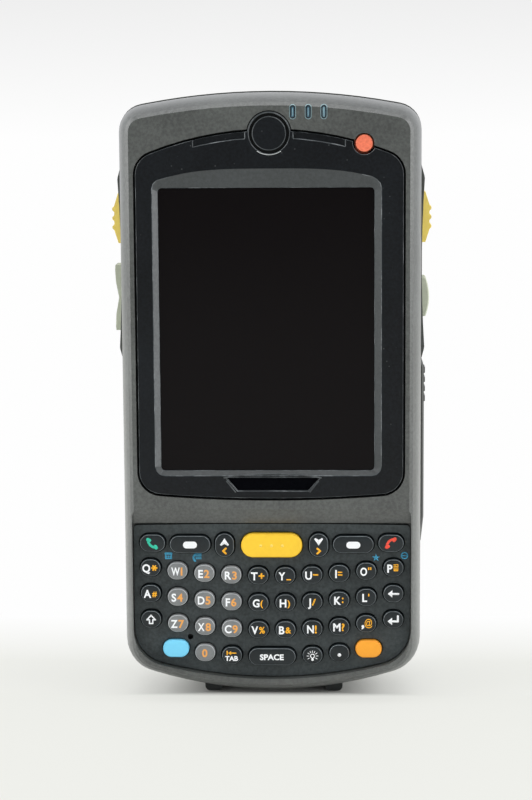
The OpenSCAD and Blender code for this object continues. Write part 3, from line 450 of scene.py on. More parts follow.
def merged(node, whole=True):
    """A copy of a CAD node without doubles, and with its flat triangles joined where whole is set."""
    bm = bmesh.new()
    bm.from_mesh(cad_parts[node].data)
    bmesh.ops.remove_doubles(bm, verts=bm.verts, dist=2e-6)
    if whole:
        bmesh.ops.dissolve_limit(bm, angle_limit=math.radians(0.4), verts=bm.verts, edges=bm.edges)
    return bm


def dressed(node, name, finish, body, width, angle=30, segments=2, edge=None, bm=None):
    """A soft-edged piece in a node's place, from the node itself or from a bmesh made of it."""
    thing = keep(name, bm or merged(node), finish, body, (node,))
    softened(thing, width, angle, segments, edge)
    print(name, "has", len(thing.data.polygons), "faces")
    return thing


front_shell = dressed("front_housing", "front_shell", HOUSING, "terminal", 0.16, 19, 2,
                      HOUSING_EDGE_WEAR_SHEEN)

# %% [markdown]
# The rear shell carries the two feet, and their lower edges are rounder than any other edge of it. They are
# picked by their place, on the ground and along the depth, and bevelled before the modifier rounds the
# rest.

# %% Rear shell and its feet
FOOT_ROUND = 1.3

rear = merged("rear_housing")
toes = [e for e in rear.edges if all(v.co.z < 0.2 * MM for v in e.verts) and e.calc_length() > 2 * MM
        and abs(e.verts[0].co.x - e.verts[1].co.x) < 0.01 * MM]
bmesh.ops.bevel(rear, geom=toes, offset=FOOT_ROUND * MM, segments=5, profile=0.5, affect="EDGES", material=-1)
print("rounded edges of the feet", len(toes))
rear_shell = dressed("rear_housing", "rear_shell", REAR, "terminal", 0.2, 26, 2, REAR_EDGE_WEAR_SHEEN, rear)

# %% [markdown]
# The bezel's opening has a bowed upper edge, so the slope down to the screen is widest in its middle. The
# CAD solid keeps that edge straight. Here the two long edges of the slope are cut into short ones together,
# which keeps the slope in clean strips, and the points of the outer edge are then lifted along a flat
# curve.

# %% The bezel with its bowed edge
BEZEL_FACE = low("display_bezel").y
PANEL = low("touch_panel").y
SLOPE_LOW, OUTER_LOW, OUTER_HIGH = 129.5, 131, 133.5
SHORTEST = 40
BOW = 2.5

bm = merged("display_bezel")
long_edges = [e for e in bm.edges if e.calc_length() > SHORTEST * MM
              and all(SLOPE_LOW < v.co.z / MM < OUTER_HIGH and v.co.y / MM < PANEL - 0.2 for v in e.verts)]
half = max(abs(v.co.x) for e in long_edges for v in e.verts)
bmesh.ops.subdivide_edges(bm, edges=long_edges, cuts=20, use_grid_fill=True)
lifted = [v for v in bm.verts if abs(v.co.y / MM - BEZEL_FACE) < 0.05
          and OUTER_LOW < v.co.z / MM < OUTER_HIGH and abs(v.co.x) < half * 0.999]
for vert in lifted:
    vert.co.z += BOW * MM * (1 - abs(vert.co.x / half) ** 3.5)
bezel = keep("bezel", bm, BEZEL, "terminal", ("display_bezel",))
softened(bezel, 0.15, 21, 2, BEZEL_EDGE_WEAR_SHEEN)
print("long edges", len(long_edges), "points lifted", len(lifted))

# %% [markdown]
# Some places on these shells have a finish of their own: the bottoms of the grooves and the slot under the
# screen get a near-black painted shade, the feet are darker, and the frame that slopes down to the screen has
# painted light: a lighter grey at its left, which faces the right lamp, and a darker painted shade on its
# other sides. They are found by where a face lies and which way it looks, which needs no second mesh.

# %% Faces with another finish
SLOT_LOW, SLOT_HIGH = low("display_bezel").z + 1.3, low("display_bezel").z + 5.7


def repaint(thing, finish, wanted):
    if finish.name not in thing.data.materials:
        thing.data.materials.append(finish)
    index = thing.data.materials.find(finish.name)
    chosen = [face for face in thing.data.polygons if wanted(face.center / MM, face.normal)]
    for face in chosen:
        face.material_index = index
    print(thing.name, "has", len(chosen), "faces in", finish.name)


bezel_low, bezel_high = low("display_bezel"), high("display_bezel")
groove_half = bezel_high.x + 1
FRAME_HALF, FRAME_INNER, FRAME_TOP = 29, 25, 135.5
LEFT_LOW, LEFT_HIGH = 62, 129
FOOT_TOP, FEET_HALF, SLOT_HALF = 2.4, 16, 13
BOSS_HALF, BOSS_REACH = 6, 11
# Painted shade: the groove round the bezel is coloured near-black.
repaint(front_shell, SHADED, lambda c, n: abs(c.x) < groove_half and FACE + 0.3 < c.y < PANEL + 0.3
        and bezel_low.z - 1 < c.z < bezel_high.z + 0.6 and not 0.1 < abs(n.y) < 0.99)
repaint(rear_shell, FOOT, lambda c, n: c.z < FOOT_TOP and abs(c.x) < FEET_HALF)
# Painted shade: the slot's recessed faces are coloured near-black.
repaint(bezel, SLOT_PAINTED_SHADE, lambda c, n: SLOT_LOW < c.z < SLOT_HIGH and abs(c.x) < SLOT_HALF
        and c.y > BEZEL_FACE + 0.1)
# Painted shade: the groove round the boss is coloured near-black.
repaint(bezel, SHADED, lambda c, n: c.z > bezel_high.z - BOSS_REACH and abs(c.x) < BOSS_HALF and n.y < -0.9
        and BEZEL_FACE + 0.4 < c.y < BEZEL_FACE + 1)
# Painted shade: the frame's slope is coloured darker where it faces away from the lamps.
repaint(bezel, FRAME_PAINTED_SHADE, lambda c, n: SLOT_HIGH + 0.4 < c.z < FRAME_TOP and abs(c.x) < FRAME_HALF
        and -0.99 < n.y < -0.05 and c.y > BEZEL_FACE + 0.05)
# Painted highlight: the frame's left side, which faces the right lamp, is coloured lighter.
repaint(bezel, FRAME_PAINTED_LIGHT, lambda c, n: LEFT_LOW < c.z < LEFT_HIGH and -FRAME_HALF < c.x < -FRAME_INNER
        and -0.97 < n.y < -0.05 and c.y > BEZEL_FACE + 0.05)

# %% [markdown]
# The battery and its two latches are separate moulded pieces, so they get edges of their own. The battery's
# back has grip grooves in one flat face. A face with several openings confuses the bevel, so here the flat
# triangles stay apart. The stylus shares the latches' black plastic.

# %% Battery, latches and stylus
dressed("battery_pack", "battery_case", BATTERY, "battery_pack", 0.2, 26, 2, REAR_EDGE_WEAR_SHEEN,
        merged("battery_pack", whole=False))
LATCH = moulded("latch_plastic", linear(40, 42, 42), 0.5, 0.3, 0.3)
for hand in ("left", "right"):
    dressed("battery_latch_" + hand, "latch_" + hand, LATCH, "battery_latch_" + hand, 0.18, 30, 3)
dressed("stylus", "stylus_barrel", LATCH, "stylus", 0.12, 40, 2)

# %% [markdown]
# The side buttons stand out of the casing, and fingers have rounded them. The same bevel with a larger
# radius and more segments is enough, because the CAD solids already hold their teeth, their dip and their
# arc.

# %% Side buttons and the power button
dressed("scan_button_left", "scan_left", SIDE_YELLOW, "scan_button_left", 0.3, 18, 3)
dressed("scan_button_right", "scan_right", SIDE_YELLOW, "scan_button_right", 0.3, 18, 3)
dressed("volume_rocker", "rocker", SIDE_GREY, "volume_rocker", 0.35, 25, 4)
dressed("action_button", "action", SIDE_GREY, "action_button", 0.35, 25, 4)
dressed("power_button", "power", POWER_RED, "power_button", 0.5, 40, 5)

# %% [markdown]
# The keypad plate is a thin painted sheet, and its holes need only the smallest rounding. Little light
# reaches the walls of the holes, so they get the grooves' painted shade and ring each key with a dark line.

# %% Keypad plate
plate_face = dressed("keypad_plate", "keypad_face", PLATE_FINISH, "terminal", 0.07, 35, 2)
repaint(plate_face, SHADED, lambda c, n: abs(n.y) < 0.5)

# %% [markdown]
# A key cap starts as a circle whose two halves are moved apart, which gives a slot outline of any
# proportion. The face is extruded down to the flange, and the rim of its top gets a wide bevel. One narrow
# band of that bevel gets a painted highlight on the black and grey keys and a painted edge shade on the
# yellow, blue and orange ones. The sizes come from the CAD node's own box: a key's flange stands 0.4 mm out
# all round, so the cap is 0.8 mm smaller than the box.

# %% Key caps
FLANGE = 0.4
SIDES = 48
SHADING_BAND_TOP, SHADING_BAND_BOTTOM = 0.09, 0.2


def cap(bm, x, z, width, height, top, bottom, rim=0.5):
    """Adds a slot-shaped body with a rounded top rim, and gives the rim's faces."""
    radius = min(width, height) / 2
    reach = max(width, height) / 2 - radius
    ring = bmesh.ops.create_circle(bm, cap_ends=True, segments=SIDES, radius=radius)["verts"]
    bmesh.ops.rotate(bm, verts=ring, matrix=Matrix.Rotation(math.pi / SIDES, 3, "Z"))
    for vert in ring:
        if width > height:
            vert.co.x += math.copysign(reach, vert.co.x)
        else:
            vert.co.y += math.copysign(reach, vert.co.y)
    bmesh.ops.rotate(bm, verts=ring, matrix=Matrix.Rotation(math.radians(90), 3, "X"))
    bmesh.ops.translate(bm, verts=ring, vec=(x, top, z))
    face = list({f for v in ring for f in v.link_faces})
    wall = bmesh.ops.extrude_face_region(bm, geom=face)
    moved = [g for g in wall["geom"] if isinstance(g, bmesh.types.BMVert)]
    bmesh.ops.translate(bm, verts=moved, vec=(0, bottom - top, 0))
    edges = [e for e in bm.edges if e.verts[0] in ring and e.verts[1] in ring]
    made = bmesh.ops.bevel(bm, geom=edges, offset=rim, segments=5, profile=0.5, affect="EDGES", material=-1,
                           clamp_overlap=True)
    return made["faces"]


def key_piece(node, colour, places):
    bm = bmesh.new()
    bottom = high(node).y
    for x, z, width, height in places:
        for face in cap(bm, x, z, width, height, KEY_TOP, bottom):
            # The faces of this band take the painted highlight or edge shade.
            if SHADING_BAND_TOP < face.calc_center_median().y - KEY_TOP < SHADING_BAND_BOTTOM:
                face.material_index = 1
    bmesh.ops.recalc_face_normals(bm, faces=bm.faces)
    bmesh.ops.scale(bm, verts=bm.verts, vec=(MM, MM, MM))
    thing = keep("cap_" + node.replace("key_", ""), bm, KEY_FINISH[colour], node, (node,))
    thing.data.materials.append(KEY_EDGE_PAINTED_LIGHT[colour])
    thing.data.set_sharp_from_angle(angle=math.radians(50))


COLOURS = {"key_scan": "yellow", "key_blue": "blue", "key_orange": "orange", "key_0": "grey"}
CENTRE = {}
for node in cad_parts:
    if node.startswith("key_"):
        lo, hi = low(node), high(node)
        CENTRE[node[4:]] = ((lo.x + hi.x) / 2, (lo.z + hi.z) / 2)
        key_piece(node, COLOURS.get(node, "black"), [
            (*CENTRE[node[4:]], hi.x - lo.x - 2 * FLANGE, hi.z - lo.z - 2 * FLANGE)])
pitch = CENTRE["y"][0] - CENTRE["t"][0]
letter_w = high("key_q").x - low("key_q").x - 2 * FLANGE
letter_h = high("key_q").z - low("key_q").z - 2 * FLANGE
print("single caps", len(CENTRE), "pitch", round(pitch, 2), "letter key", round(letter_w, 2),
      round(letter_h, 2))

# %% [markdown]
# The nine grey number keys are three nodes of three. Their rows bend up towards the ends by the square of
# the distance from the middle, so the middle of each cap follows from the outer letter keys of its row.

# %% Grey number keys
for node, row, names in (("number_keys_123", ("q", "t"), "wer"), ("number_keys_456", ("a", "g"), "sdf"),
                         ("number_keys_789", ("shift", "v"), "zxc")):
    (x0, z0), (x1, z1) = CENTRE[row[0]], CENTRE[row[1]]
    bend = (z0 - z1) / (x0 ** 2 - x1 ** 2)
    places = []
    for i, name in enumerate(names):
        x = x0 + (i + 1) * pitch
        CENTRE[name] = (x, z1 + bend * (x ** 2 - x1 ** 2))
        places.append((*CENTRE[name], letter_w, letter_h))
    key_piece(node, "grey", places)
print("caps", len(CENTRE))

# %% [markdown]
# Signs are drawn as strokes: each stroke is a thin box between two points, with a round dot at each end.
# Where two boxes overlap at one height, their faces fight over the same place and come out black, so each
# next one lies a hair higher than the last.

# %% Strokes
PROUD = 0.02
LIFT = 0.0002
INK_DEPTH = 0.05


def plate_of(bm, ring, y=None):
    """Gives a flat ring of vertices its thin body, with the printed side towards -Y."""
    top = (KEY_TOP if y is None else y) - PROUD - LIFT * len(bm.faces)
    face = ring[0].link_faces[0] if ring[0].link_faces else bm.faces.new(ring)
    for vert in face.verts:
        vert.co.y = top
    wall = bmesh.ops.extrude_face_region(bm, geom=[face])
    moved = [g for g in wall["geom"] if isinstance(g, bmesh.types.BMVert)]
    bmesh.ops.translate(bm, verts=moved, vec=(0, INK_DEPTH, 0))


def blot(bm, points, y=None):
    plate_of(bm, [bm.verts.new((x, 0, z)) for x, z in points], y)


def dot(bm, x, z, radius, y=None):
    ring = bmesh.ops.create_circle(bm, cap_ends=True, segments=20, radius=radius)["verts"]
    bmesh.ops.rotate(bm, verts=ring, matrix=Matrix.Rotation(math.radians(90), 3, "X"))
    bmesh.ops.translate(bm, verts=ring, vec=(x, 0, z))
    plate_of(bm, ring, y)


def stroke(bm, points, width, y=None, closed=False):
    following = points[1:] + points[:1] if closed else points[1:]
    for (x0, z0), (x1, z1) in zip(points, following):
        length = math.hypot(x1 - x0, z1 - z0)
        nx, nz = -(z1 - z0) / length * width / 2, (x1 - x0) / length * width / 2
        blot(bm, [(x0 - nx, z0 - nz), (x1 - nx, z1 - nz), (x1 + nx, z1 + nz), (x0 + nx, z0 + nz)], y)
    for x, z in points:
        dot(bm, x, z, width / 2, y)


def arc(x, z, radius, start, stop, steps=12):
    turns = [math.radians(start + (stop - start) * i / steps) for i in range(steps + 1)]
    return [(x + radius * math.cos(a), z + radius * math.sin(a)) for a in turns]


def ink(name, bm, colour, body):
    bmesh.ops.scale(bm, verts=bm.verts, vec=(MM, MM, MM))
    keep(name, bm, INK[colour], body)


def sign(name, colour, body, draw):
    bm = bmesh.new()
    draw(bm)
    bmesh.ops.recalc_face_normals(bm, faces=bm.faces)
    ink(name, bm, colour, body)


print("strokes ready")

# %% [markdown]
# The legends are printed, but a printed letter as a mesh stays crisp at any distance. Blender's own font is
# drawn a little heavier with the curve's offset, made a mesh, and laid 0.02 mm above its key. Letters share
# one scale, measured once on a capital H, and a letter that would come out too wide is squeezed, as the
# real legends are.

# %% Letters
SHAPES = {}


def glyphs(text, weight=0.03):
    """The mesh of a word in Blender's own font, made once for each word and weight."""
    if (text, weight) not in SHAPES:
        curve = bpy.data.curves.new("letters", "FONT")
        curve.body, curve.align_x = text, "CENTER"
        curve.offset, curve.extrude, curve.resolution_u = weight, 0.02, 4
        thing = bpy.data.objects.new("letters", curve)
        bpy.context.scene.collection.objects.link(thing)
        bpy.context.view_layer.update()
        SHAPES[text, weight] = bpy.data.meshes.new_from_object(
            thing.evaluated_get(bpy.context.evaluated_depsgraph_get()))
        bpy.data.objects.remove(thing)
    return SHAPES[text, weight]


def wide(text, height):
    xs = [v.co.x for v in glyphs(text).vertices]
    return (max(xs) - min(xs)) * height / CAPITAL


def letters(bm, text, x, z, height, squeeze=1.0, weight=0.03):
    """Adds a word whose capitals have this height, centred on x and z, in millimetres."""
    new = bmesh.new()
    new.from_mesh(glyphs(text, weight))
    xs = [v.co.x for v in new.verts]
    factor = height / CAPITAL
    bmesh.ops.translate(new, verts=new.verts, vec=(-(min(xs) + max(xs)) / 2, -CAPITAL / 2, 0))
    bmesh.ops.scale(new, verts=new.verts, vec=(factor * squeeze, factor, 1))
    bmesh.ops.rotate(new, verts=new.verts, matrix=Matrix.Rotation(math.radians(90), 3, "X"))
    bmesh.ops.translate(new, verts=new.verts, vec=(x, KEY_TOP, z))
    mesh = bpy.data.meshes.new("word")
    new.to_mesh(mesh)
    new.free()
    bm.from_mesh(mesh)
    bpy.data.meshes.remove(mesh)


CAPITAL = max(v.co.y for v in glyphs("H").vertices)
print("capital height", round(CAPITAL, 3))

# %% [markdown]
# A letter key carries its white letter and an orange second sign, side by side around the middle of the
# key. The simplest second signs are strokes, given here as lines around the sign's own middle, since the
# font's are thin.

# %% Letter keys
BODY = {name: "key_" + name for name in CENTRE}
BODY.update({n: "number_keys_123" for n in "wer"}, **{n: "number_keys_456" for n in "sdf"},
            **{n: "number_keys_789" for n in "zxc"})
SECOND = {"w": ("1", 2.0), "e": ("2", 2.0), "r": ("3", 2.0), "a": ("#", 1.35), "s": ("4", 2.0),
          "d": ("5", 2.0), "f": ("6", 2.0), "g": ("(", 1.5), "h": (")", 1.5), "z": ("7", 2.0),
          "x": ("8", 2.0), "c": ("9", 2.0), "v": ("%", 1.65), "b": ("&", 1.55), "n": ("!", 2.0),
          "m": ("?", 1.9)}
LINES = {"q": ([(-0.6, 0, 0.6, 0), (-0.3, -0.52, 0.3, 0.52), (-0.3, 0.52, 0.3, -0.52)], 0.4),
         "t": ([(-0.55, 0, 0.55, 0), (0, -0.55, 0, 0.55)], 0.42),
         "y": ([(-0.45, -0.95, 0.45, -0.95)], 0.3), "u": ([(-0.48, 0.1, 0.48, 0.1)], 0.42),
         "i": ([(-0.42, 0.36, 0.42, 0.36), (-0.42, -0.32, 0.42, -0.32)], 0.34),
         "o": ([(-0.26, 0.9, -0.26, 0.5), (0.26, 0.9, 0.26, 0.5)], 0.34),
         "j": ([(-0.3, -0.7, 0.3, 0.7)], 0.36), "k": ([(0, 0.5, 0, 0.46), (0, -0.5, 0, -0.46)], 0.42),
         "l": ([(0, 0.85, 0, 0.45)], 0.34),
         "p": ([(-0.5, 0.35, 0.5, 0.35), (-0.5, -0.2, 0.5, -0.2), (-0.45, -0.6, 0.45, -0.6),
                (-0.5, 0.85, -0.1, 0.85), (0.25, 0.95, 0.5, 0.8)], 0.3)}
WIDEST = {"w": 2.15, "m": 2.1, "q": 2.0, "a": 1.95}
APART = 0.22

for name in [*SECOND, *LINES]:
    x, z = CENTRE[name]
    natural = wide(name.upper(), 2.0)
    first_w = min(natural * 0.95, WIDEST.get(name, 1.72))
    if name in SECOND:
        text, size = SECOND[name]
        second_w = min(wide(text, size), 1.45)
    else:
        lines, thick = LINES[name]
        second_w = 2 * max(x1 for _, _, x1, _ in lines) + thick
    left = x - 0.12 - (first_w + APART + second_w) / 2
    first = bmesh.new()
    letters(first, name.upper(), left + first_w / 2, z - 0.05, 2.0, squeeze=first_w / natural)
    ink("letter_" + name, first, "white", BODY[name])
    middle = left + first_w + APART + second_w / 2
    tone = "amber" if name in "wersdfzxc" else "orange"
    if name in SECOND:
        second = bmesh.new()
        letters(second, text, middle, z - 0.05, size, squeeze=second_w / wide(text, size))
        ink("second_" + name, second, tone, BODY[name])
    else:
        sign("second_" + name, tone, BODY[name], lambda bm: [
            stroke(bm, [(middle + x0, z + z0), (middle + x1, z + z1)], thick) for x0, z0, x1, z1 in lines])
print("lettered keys", len(SECOND) + len(LINES))

# %% [markdown]
# The top row has signs alone: two handsets, two rounded bars, and two arrows with a smaller orange one
# under each. A handset is one bent stroke with a thicker end on each side. The red one is the green one
# turned upside down.

# %% Top row
def handset(bm, x, z, way):
    bend = [(-1.05, 0.85), (-0.95, 0.15), (-0.55, -0.5), (0.1, -0.95), (0.85, -1.1)]
    stroke(bm, [(x + px, z + way * pz) for px, pz in bend], 0.62)
    for (ax, az), (bx, bz) in (((-1.1, 0.95), (-0.72, 0.75)), ((0.72, -0.8), (0.95, -1.15))):
        stroke(bm, [(x + ax, z + way * az), (x + bx, z + way * bz)], 0.88)


def pill(bm, x, z, width, height):
    cap(bm, x, z, width, height, KEY_TOP - 0.03, KEY_TOP + 0.03, 0.01)


x, z = CENTRE["call"]
sign("sign_call", "green", "key_call", lambda bm: handset(bm, x, z, 1))
x, z = CENTRE["end"]
sign("sign_end", "red", "key_end", lambda bm: handset(bm, x, z, -1))
for name in ("soft_left", "soft_right"):
    x, z = CENTRE[name]
    sign("sign_" + name, "white", "key_" + name, lambda bm: pill(bm, x, z - 0.1, 3.5, 1.75))
for name, way in (("up", 1), ("down", -1)):
    x, z = CENTRE[name]
    mid = z + (0.85 if way > 0 else 0.95)
    sign("sign_" + name, "white", "key_" + name, lambda bm: [blot(bm, [
        (x, mid + way * 0.95), (x + s * 1.15, mid - way * 0.72), (x + s * 0.8, mid - way * 0.95),
        (x, mid - way * 0.45)]) for s in (-1, 1)])
    sign("second_" + name, "orange", "key_" + name, lambda bm: stroke(
        bm, [(x + way * 0.32, z - 0.8), (x - way * 0.38, z - 1.42), (x + way * 0.32, z - 2.05)], 0.48))
x, z = CENTRE["scan"]
sign("sign_scan", "gold", "key_scan", lambda bm: [dot(bm, x + i * 2.7, z, 0.38) for i in (-1, 0, 1)])
print("top row drawn")

# %% [markdown]
# The arrows at the right, the shift arrow at the left and the lamp, and then the words of the bottom row.

# %% Arrows, words and the lamp
x, z = CENTRE["backspace"]
sign("sign_backspace", "white", "key_backspace", lambda bm: [
    blot(bm, [(x - 1.4, z), (x - 0.25, z - 0.95), (x - 0.25, z + 0.95)]),
    stroke(bm, [(x - 0.3, z), (x + 1.25, z)], 0.5)])
x, z = CENTRE["enter"]
sign("sign_enter", "white", "key_enter", lambda bm: [
    blot(bm, [(x - 1.45, z - 0.4), (x - 0.3, z - 1.35), (x - 0.3, z + 0.55)]),
    stroke(bm, [(x - 0.4, z - 0.4), (x + 1.15, z - 0.4), (x + 1.15, z + 0.95)], 0.52)])
x, z = CENTRE["shift"]
sign("sign_shift", "white", "key_shift", lambda bm: stroke(bm, [
    (x - 0.42, z - 1.05), (x - 0.42, z - 0.1), (x - 1.08, z - 0.1), (x, z + 1.05), (x + 1.08, z - 0.1),
    (x + 0.42, z - 0.1), (x + 0.42, z - 1.05)], 0.34, closed=True))


def word(name, colour, node, text, height, dx=0.0, dz=0.0, squeeze=1.0, weight=0.03):
    x, z = CENTRE[node]
    bm = bmesh.new()
    letters(bm, text, x + dx, z + dz, height, squeeze, weight)
    ink(name, bm, colour, BODY[node])


word("second_0", "amber", "0", "0", 2.0, dx=-0.1)
word("word_space", "white", "space", "SPACE", 1.42, dx=-0.1, dz=-0.05, squeeze=1.06, weight=0.036)
word("word_tab", "white", "tab", "TAB", 1.2, dx=-0.1, dz=-0.75, squeeze=1.04, weight=0.036)
word("sign_comma", "white", "comma", ",", 2.2, dx=-0.85, dz=0.3, weight=0.05)
word("second_comma", "orange", "comma", "@", 1.8, dx=0.55, dz=0.35, squeeze=0.8, weight=0.01)
x, z = CENTRE["tab"]
sign("second_tab", "orange", "key_tab", lambda bm: [
    stroke(bm, [(x - 1.2, z + 0.2), (x - 1.2, z + 1.05)], 0.32),
    blot(bm, [(x - 1.0, z + 0.62), (x - 0.2, z + 0.1), (x - 0.2, z + 1.14)]),
    stroke(bm, [(x - 0.25, z + 0.62), (x + 1.0, z + 0.62)], 0.3)])
x, z = CENTRE["dot"]
sign("sign_dot", "white", "key_dot", lambda bm: dot(bm, x, z - 0.45, 0.46))
x, z = CENTRE["light"]
sign("sign_light", "white", "key_light", lambda bm: [
    stroke(bm, arc(x, z - 0.1, 0.5, -65, 245), 0.24),
    stroke(bm, [(x, z - 0.85), (x, z - 1.1)], 0.55)] + [
    stroke(bm, arc(x, z - 0.1, 0.95, a, a, 1)[:1] + arc(x, z - 0.1, 1.38, a, a, 1)[:1], 0.17)
    for a in (-32, 2, 35, 64, 90, 116, 145, 178, 212)])
print("bottom row drawn")

# %% [markdown]
# Small blue signs are printed on the plate between the first two rows: a calendar, a call list, a star and
# a ring. They mark the keys' second functions and lie on the plate, not on a key.

# %% Signs on the plate
x, z = -26.0, 37.8
sign("sign_calendar", "blue", "terminal", lambda bm: [
    stroke(bm, [(x - 0.74, z - 0.74), (x + 0.74, z - 0.74), (x + 0.74, z + 0.74), (x - 0.74, z + 0.74)], 0.3,
           PLATE, True),
    stroke(bm, [(x - 0.74, z + 0.55), (x + 0.74, z + 0.55)], 0.55, PLATE),
    *[dot(bm, x + i * 0.46, z + j * 0.45 - 0.36, 0.2, PLATE) for i in (-1, 0, 1) for j in (-0.5, 0.5)]])
x, z = -18.85, 37.3
sign("sign_call_list", "blue", "terminal", lambda bm: [
    stroke(bm, arc(x + 0.15, z, 1.0, 125, 235, 8), 0.5, PLATE),
    *[stroke(bm, [(x - 0.25, z + dz), (x + 1.1, z + dz)], 0.24, PLATE) for dz in (-0.25, 0.15, 0.55, 0.95)]])
x, z = 26.15, 37.33
sign("sign_star", "blue", "terminal", lambda bm: [blot(bm, [
    (x, z), *[(x + r * math.sin(math.radians(a)), z + r * math.cos(math.radians(a)))
              for r, a in ((0.42, 72 * i - 36), (1.05, 72 * i), (0.42, 72 * i + 36))]], PLATE)
    for i in range(5)])
x, z = 33.3, 37.9
sign("sign_ring", "blue", "terminal", lambda bm: [
    stroke(bm, arc(x, z, 0.78, 0, 345, 24), 0.34, PLATE, True),
    stroke(bm, [(x - 0.6, z), (x + 0.6, z)], 0.28, PLATE)])
print("plate signs drawn")

# %% [markdown]
# The indicator lenses are small clear blue inserts, the right one paler than the others. A real one is one
# clear moulding, and light in it gives a bright edge, a dark wall inside it and a light line down the middle,
# where it is thickest. Four slot shapes set into each other, each a hair higher than the last, paint these as
# colours: a painted glint at the edge, painted shade inside it and a painted highlight down the middle. They
# give the same picture and can be seen apart.

# %% Indicator lenses
LED_BELOW_TOP = 4.7
LED_STEP, LED_W, LED_H = 3.8, 1.75, 3.7
LENS_GLASS = lacquer("lens_clear_blue", linear(66, 96, 110), 0.2, 0.3, 0.5)
LENS_PALE = lacquer("lens_clear_pale", linear(104, 132, 142), 0.2, 0.4, 0.5)
# Painted light: a glint for the lens edge, shade for its inner wall, a highlight down its middle.
LENS_MIDDLE_HIGHLIGHT = lacquer("lens_line", linear(120, 152, 164), 0.25, 0.25, 0.5)
LENS_INNER_SHADE = lacquer("lens_frame", linear(26, 38, 46), 0.4, 0.2, 0.3)
LENS_EDGE_GLINT = lacquer("lens_rim", linear(142, 168, 174), 0.3, 0.3, 0.5)
lens_x = (low("led_lenses").x + high("led_lenses").x) / 2
lens_z = TOP - LED_BELOW_TOP


def lens_piece(name, finish, x, width, height, top, bottom, rim, replaced=()):
    bm = bmesh.new()
    cap(bm, x, lens_z, width, height, FACE + top, FACE + bottom, rim)
    bmesh.ops.recalc_face_normals(bm, faces=bm.faces)
    bmesh.ops.scale(bm, verts=bm.verts, vec=(MM, MM, MM))
    keep(name, bm, finish, "terminal", replaced)


for i in (-1, 0, 1):
    x = lens_x + i * LED_STEP
    glass = LENS_PALE if i == 1 else LENS_GLASS
    lens_piece(f"lens_rim_{i + 2}", LENS_EDGE_GLINT, x, LED_W, LED_H, 0.08, 2.6, 0.12, ("led_lenses",))
    lens_piece(f"lens_frame_{i + 2}", LENS_INNER_SHADE, x, 1.36, 3.32, 0.06, 1.0, 0.05)
    lens_piece(f"lens_{i + 2}", glass, x, 0.9, 2.8, 0.04, 0.9, 0.25)
    lens_piece(f"lens_line_{i + 2}", LENS_MIDDLE_HIGHLIGHT, x, 0.24, 1.9, 0.02, 0.4, 0.1)
print("lenses at", round(lens_x, 2), round(lens_z, 1))

# %% [markdown]
# The slot under the screen has a fine lip: a raised bow over its upper edge and a slanted ridge at each end.
# Each is a thin bar that is swept along a few points, made by extruding one small square from point to point.
# Their grey, lighter than the bezel, is a painted highlight along the slot's rims.

# %% Lip of the slot
LIP_X, LIP_Z, LIP_HALF, LIP_DROP = 0.4, 59.1, 12.2, 1.05


def bar(bm, points, width, top, depth):
    """A bar with a square section along points in the plane of the face."""
    section, last = None, None
    for i, (x, z) in enumerate(points):
        ax, az = points[max(i - 1, 0)]
        bx, bz = points[min(i + 1, len(points) - 1)]
        length = math.hypot(bx - ax, bz - az)
        nx, nz = -(bz - az) / length * width / 2, (bx - ax) / length * width / 2
        corners = [Vector(c) for c in ((x - nx, top, z - nz), (x + nx, top, z + nz),
                                       (x + nx, top + depth, z + nz), (x - nx, top + depth, z - nz))]
        if section is None:
            section = bm.faces.new([bm.verts.new(c) for c in corners])
        else:
            grown = bmesh.ops.extrude_face_region(bm, geom=[section])["geom"]
            section = next(g for g in grown if isinstance(g, bmesh.types.BMFace))
            for vert in section.verts:
                vert.co = corners[min(range(4), key=lambda k: (last[k] - vert.co).length)]
        last = corners


# Painted highlight: the lip's lighter grey stands for light caught on the slot's rims.
LIP_SHEEN = edge_wear_and_sheen("slot_lip_plastic", linear(46, 51, 54), linear(92, 97, 99), 0.35)
lip = bmesh.new()
bow = [(LIP_X + LIP_HALF * i / 8, LIP_Z - LIP_DROP * (abs(i) / 8) ** 2.2) for i in range(-8, 9)]
bar(lip, bow, 0.34, BEZEL_FACE - 0.1, 0.35)
for hand in (-1, 1):
    ridge = [(LIP_X + hand * 11.5, LIP_Z - 1.8), (LIP_X + hand * 9.2, LIP_Z - 4.7)]
    bar(lip, ridge, 0.3, BEZEL_FACE - 0.08, 0.3)
bmesh.ops.bevel(lip, geom=lip.edges[:], offset=0.07, segments=2, profile=0.5, affect="EDGES", material=-1)
bmesh.ops.recalc_face_normals(lip, faces=lip.faces)
bmesh.ops.scale(lip, verts=lip.verts, vec=(MM, MM, MM))
keep("slot_lip", lip, LIP_SHEEN, "terminal", ())
print("lip drawn")

# %% [markdown]
# The round boss's rims carry painted highlights: thin grey rings of painted sheen, and a pale arc of painted
# glint along its lower side. Each is a part of a thin ring: a small circle is set beside the boss's axis and
# spun about it, through a full turn for the inner rim and through an arc for the two outer ones.

# %% Rims of the boss
# Painted sheen and painted glint for the boss's rims.
BOSS_RIM_SHEEN = edge_wear_and_sheen("rim_grey", linear(66, 72, 75), linear(104, 109, 111), 0.3)
BOSS_RIM_GLINT = edge_wear_and_sheen("rim_light", linear(168, 172, 172), linear(214, 217, 217), 0.25)
BOSS_INNER, BOSS_OUTER, BOSS_BELOW_TOP = 4.02, 5.18, 5.3
boss_z = bezel_high.z - BOSS_BELOW_TOP


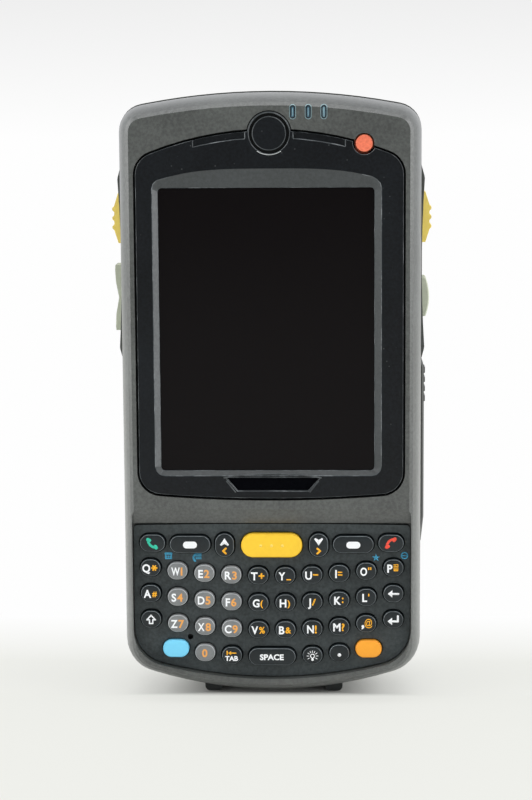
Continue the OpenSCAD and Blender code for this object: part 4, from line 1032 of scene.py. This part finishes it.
def rim(name, finish, radius, thick, start, sweep):
    bm = bmesh.new()
    ring = bmesh.ops.create_circle(bm, segments=10, radius=thick / 2)["verts"]
    bmesh.ops.translate(bm, verts=ring, vec=(radius, 0, 0))
    bmesh.ops.rotate(bm, verts=ring, matrix=Matrix.Rotation(-math.radians(start), 3, "Y"))
    bmesh.ops.spin(bm, geom=bm.verts[:] + bm.edges[:], cent=(0, 0, 0), axis=(0, 1, 0),
                   angle=-math.radians(sweep), steps=max(12, int(sweep / 4)), use_merge=sweep == 360,
                   use_duplicate=False)
    if sweep < 360:
        bmesh.ops.holes_fill(bm, edges=[e for e in bm.edges if e.is_boundary])
    bmesh.ops.translate(bm, verts=bm.verts, vec=(0, BEZEL_FACE + 0.02, boss_z))
    bmesh.ops.recalc_face_normals(bm, faces=bm.faces)
    bmesh.ops.scale(bm, verts=bm.verts, vec=(MM, MM, MM))
    keep(name, bm, finish, "terminal", ())


rim("boss_rim_inner", BOSS_RIM_SHEEN, BOSS_INNER, 0.13, 0, 360)
rim("boss_rim_upper", BOSS_RIM_SHEEN, BOSS_OUTER, 0.2, 8, 164)
rim("boss_rim_lower", BOSS_RIM_GLINT, BOSS_OUTER, 0.2, 236, 68)
print("boss at", round(boss_z, 2))

# %% [markdown]
# The remaining CAD solids already have the right shape. They get finishes of their own: the screen's film,
# the metal of the screws, the dark red scan window, the camera and what lies inside.

# %% Finishes for the CAD nodes that stay
def give(node, finish):
    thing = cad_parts[node]
    thing.data.materials.clear()
    thing.data.materials.append(finish)


steel = Finish("screw_steel")
brushed = steel.noise(1, 3, steel.scaled(900, 60, 900))
STEEL = steel.done(Base_Color=steel.mix(brushed, (0.3, 0.3, 0.31, 1), (0.5, 0.5, 0.5, 1)), Metallic=1.0,
                   Roughness=(0.3 + brushed * 0.2).clamped())
give("touch_panel", SCREEN)
give("housing_screws", STEEL)
give("lcd_module", moulded("screen_module_metal", linear(150, 152, 155), 0.4, 0.1, 0.2))
give("keypad_mat", lacquer("mat_silicone", linear(120, 122, 122), 0.6))
give("main_board", moulded("board_resin", linear(30, 96, 62), 0.4, 0.1, 0.2))
give("scan_engine", moulded("engine_plastic", linear(52, 53, 56), 0.5))
WINDOW_RED = lacquer("window_red", linear(66, 12, 18), 0.12, 0.2, 0.6)
dressed("scan_window", "scan_glass", WINDOW_RED, "terminal", 0.15)
CAMERA_BLACK = lacquer("camera_black", linear(18, 18, 20), 0.2, 0.2, 0.6)
dressed("camera_module", "camera_lens", CAMERA_BLACK, "terminal", 0.12)
print("finishes", len(bpy.data.materials))
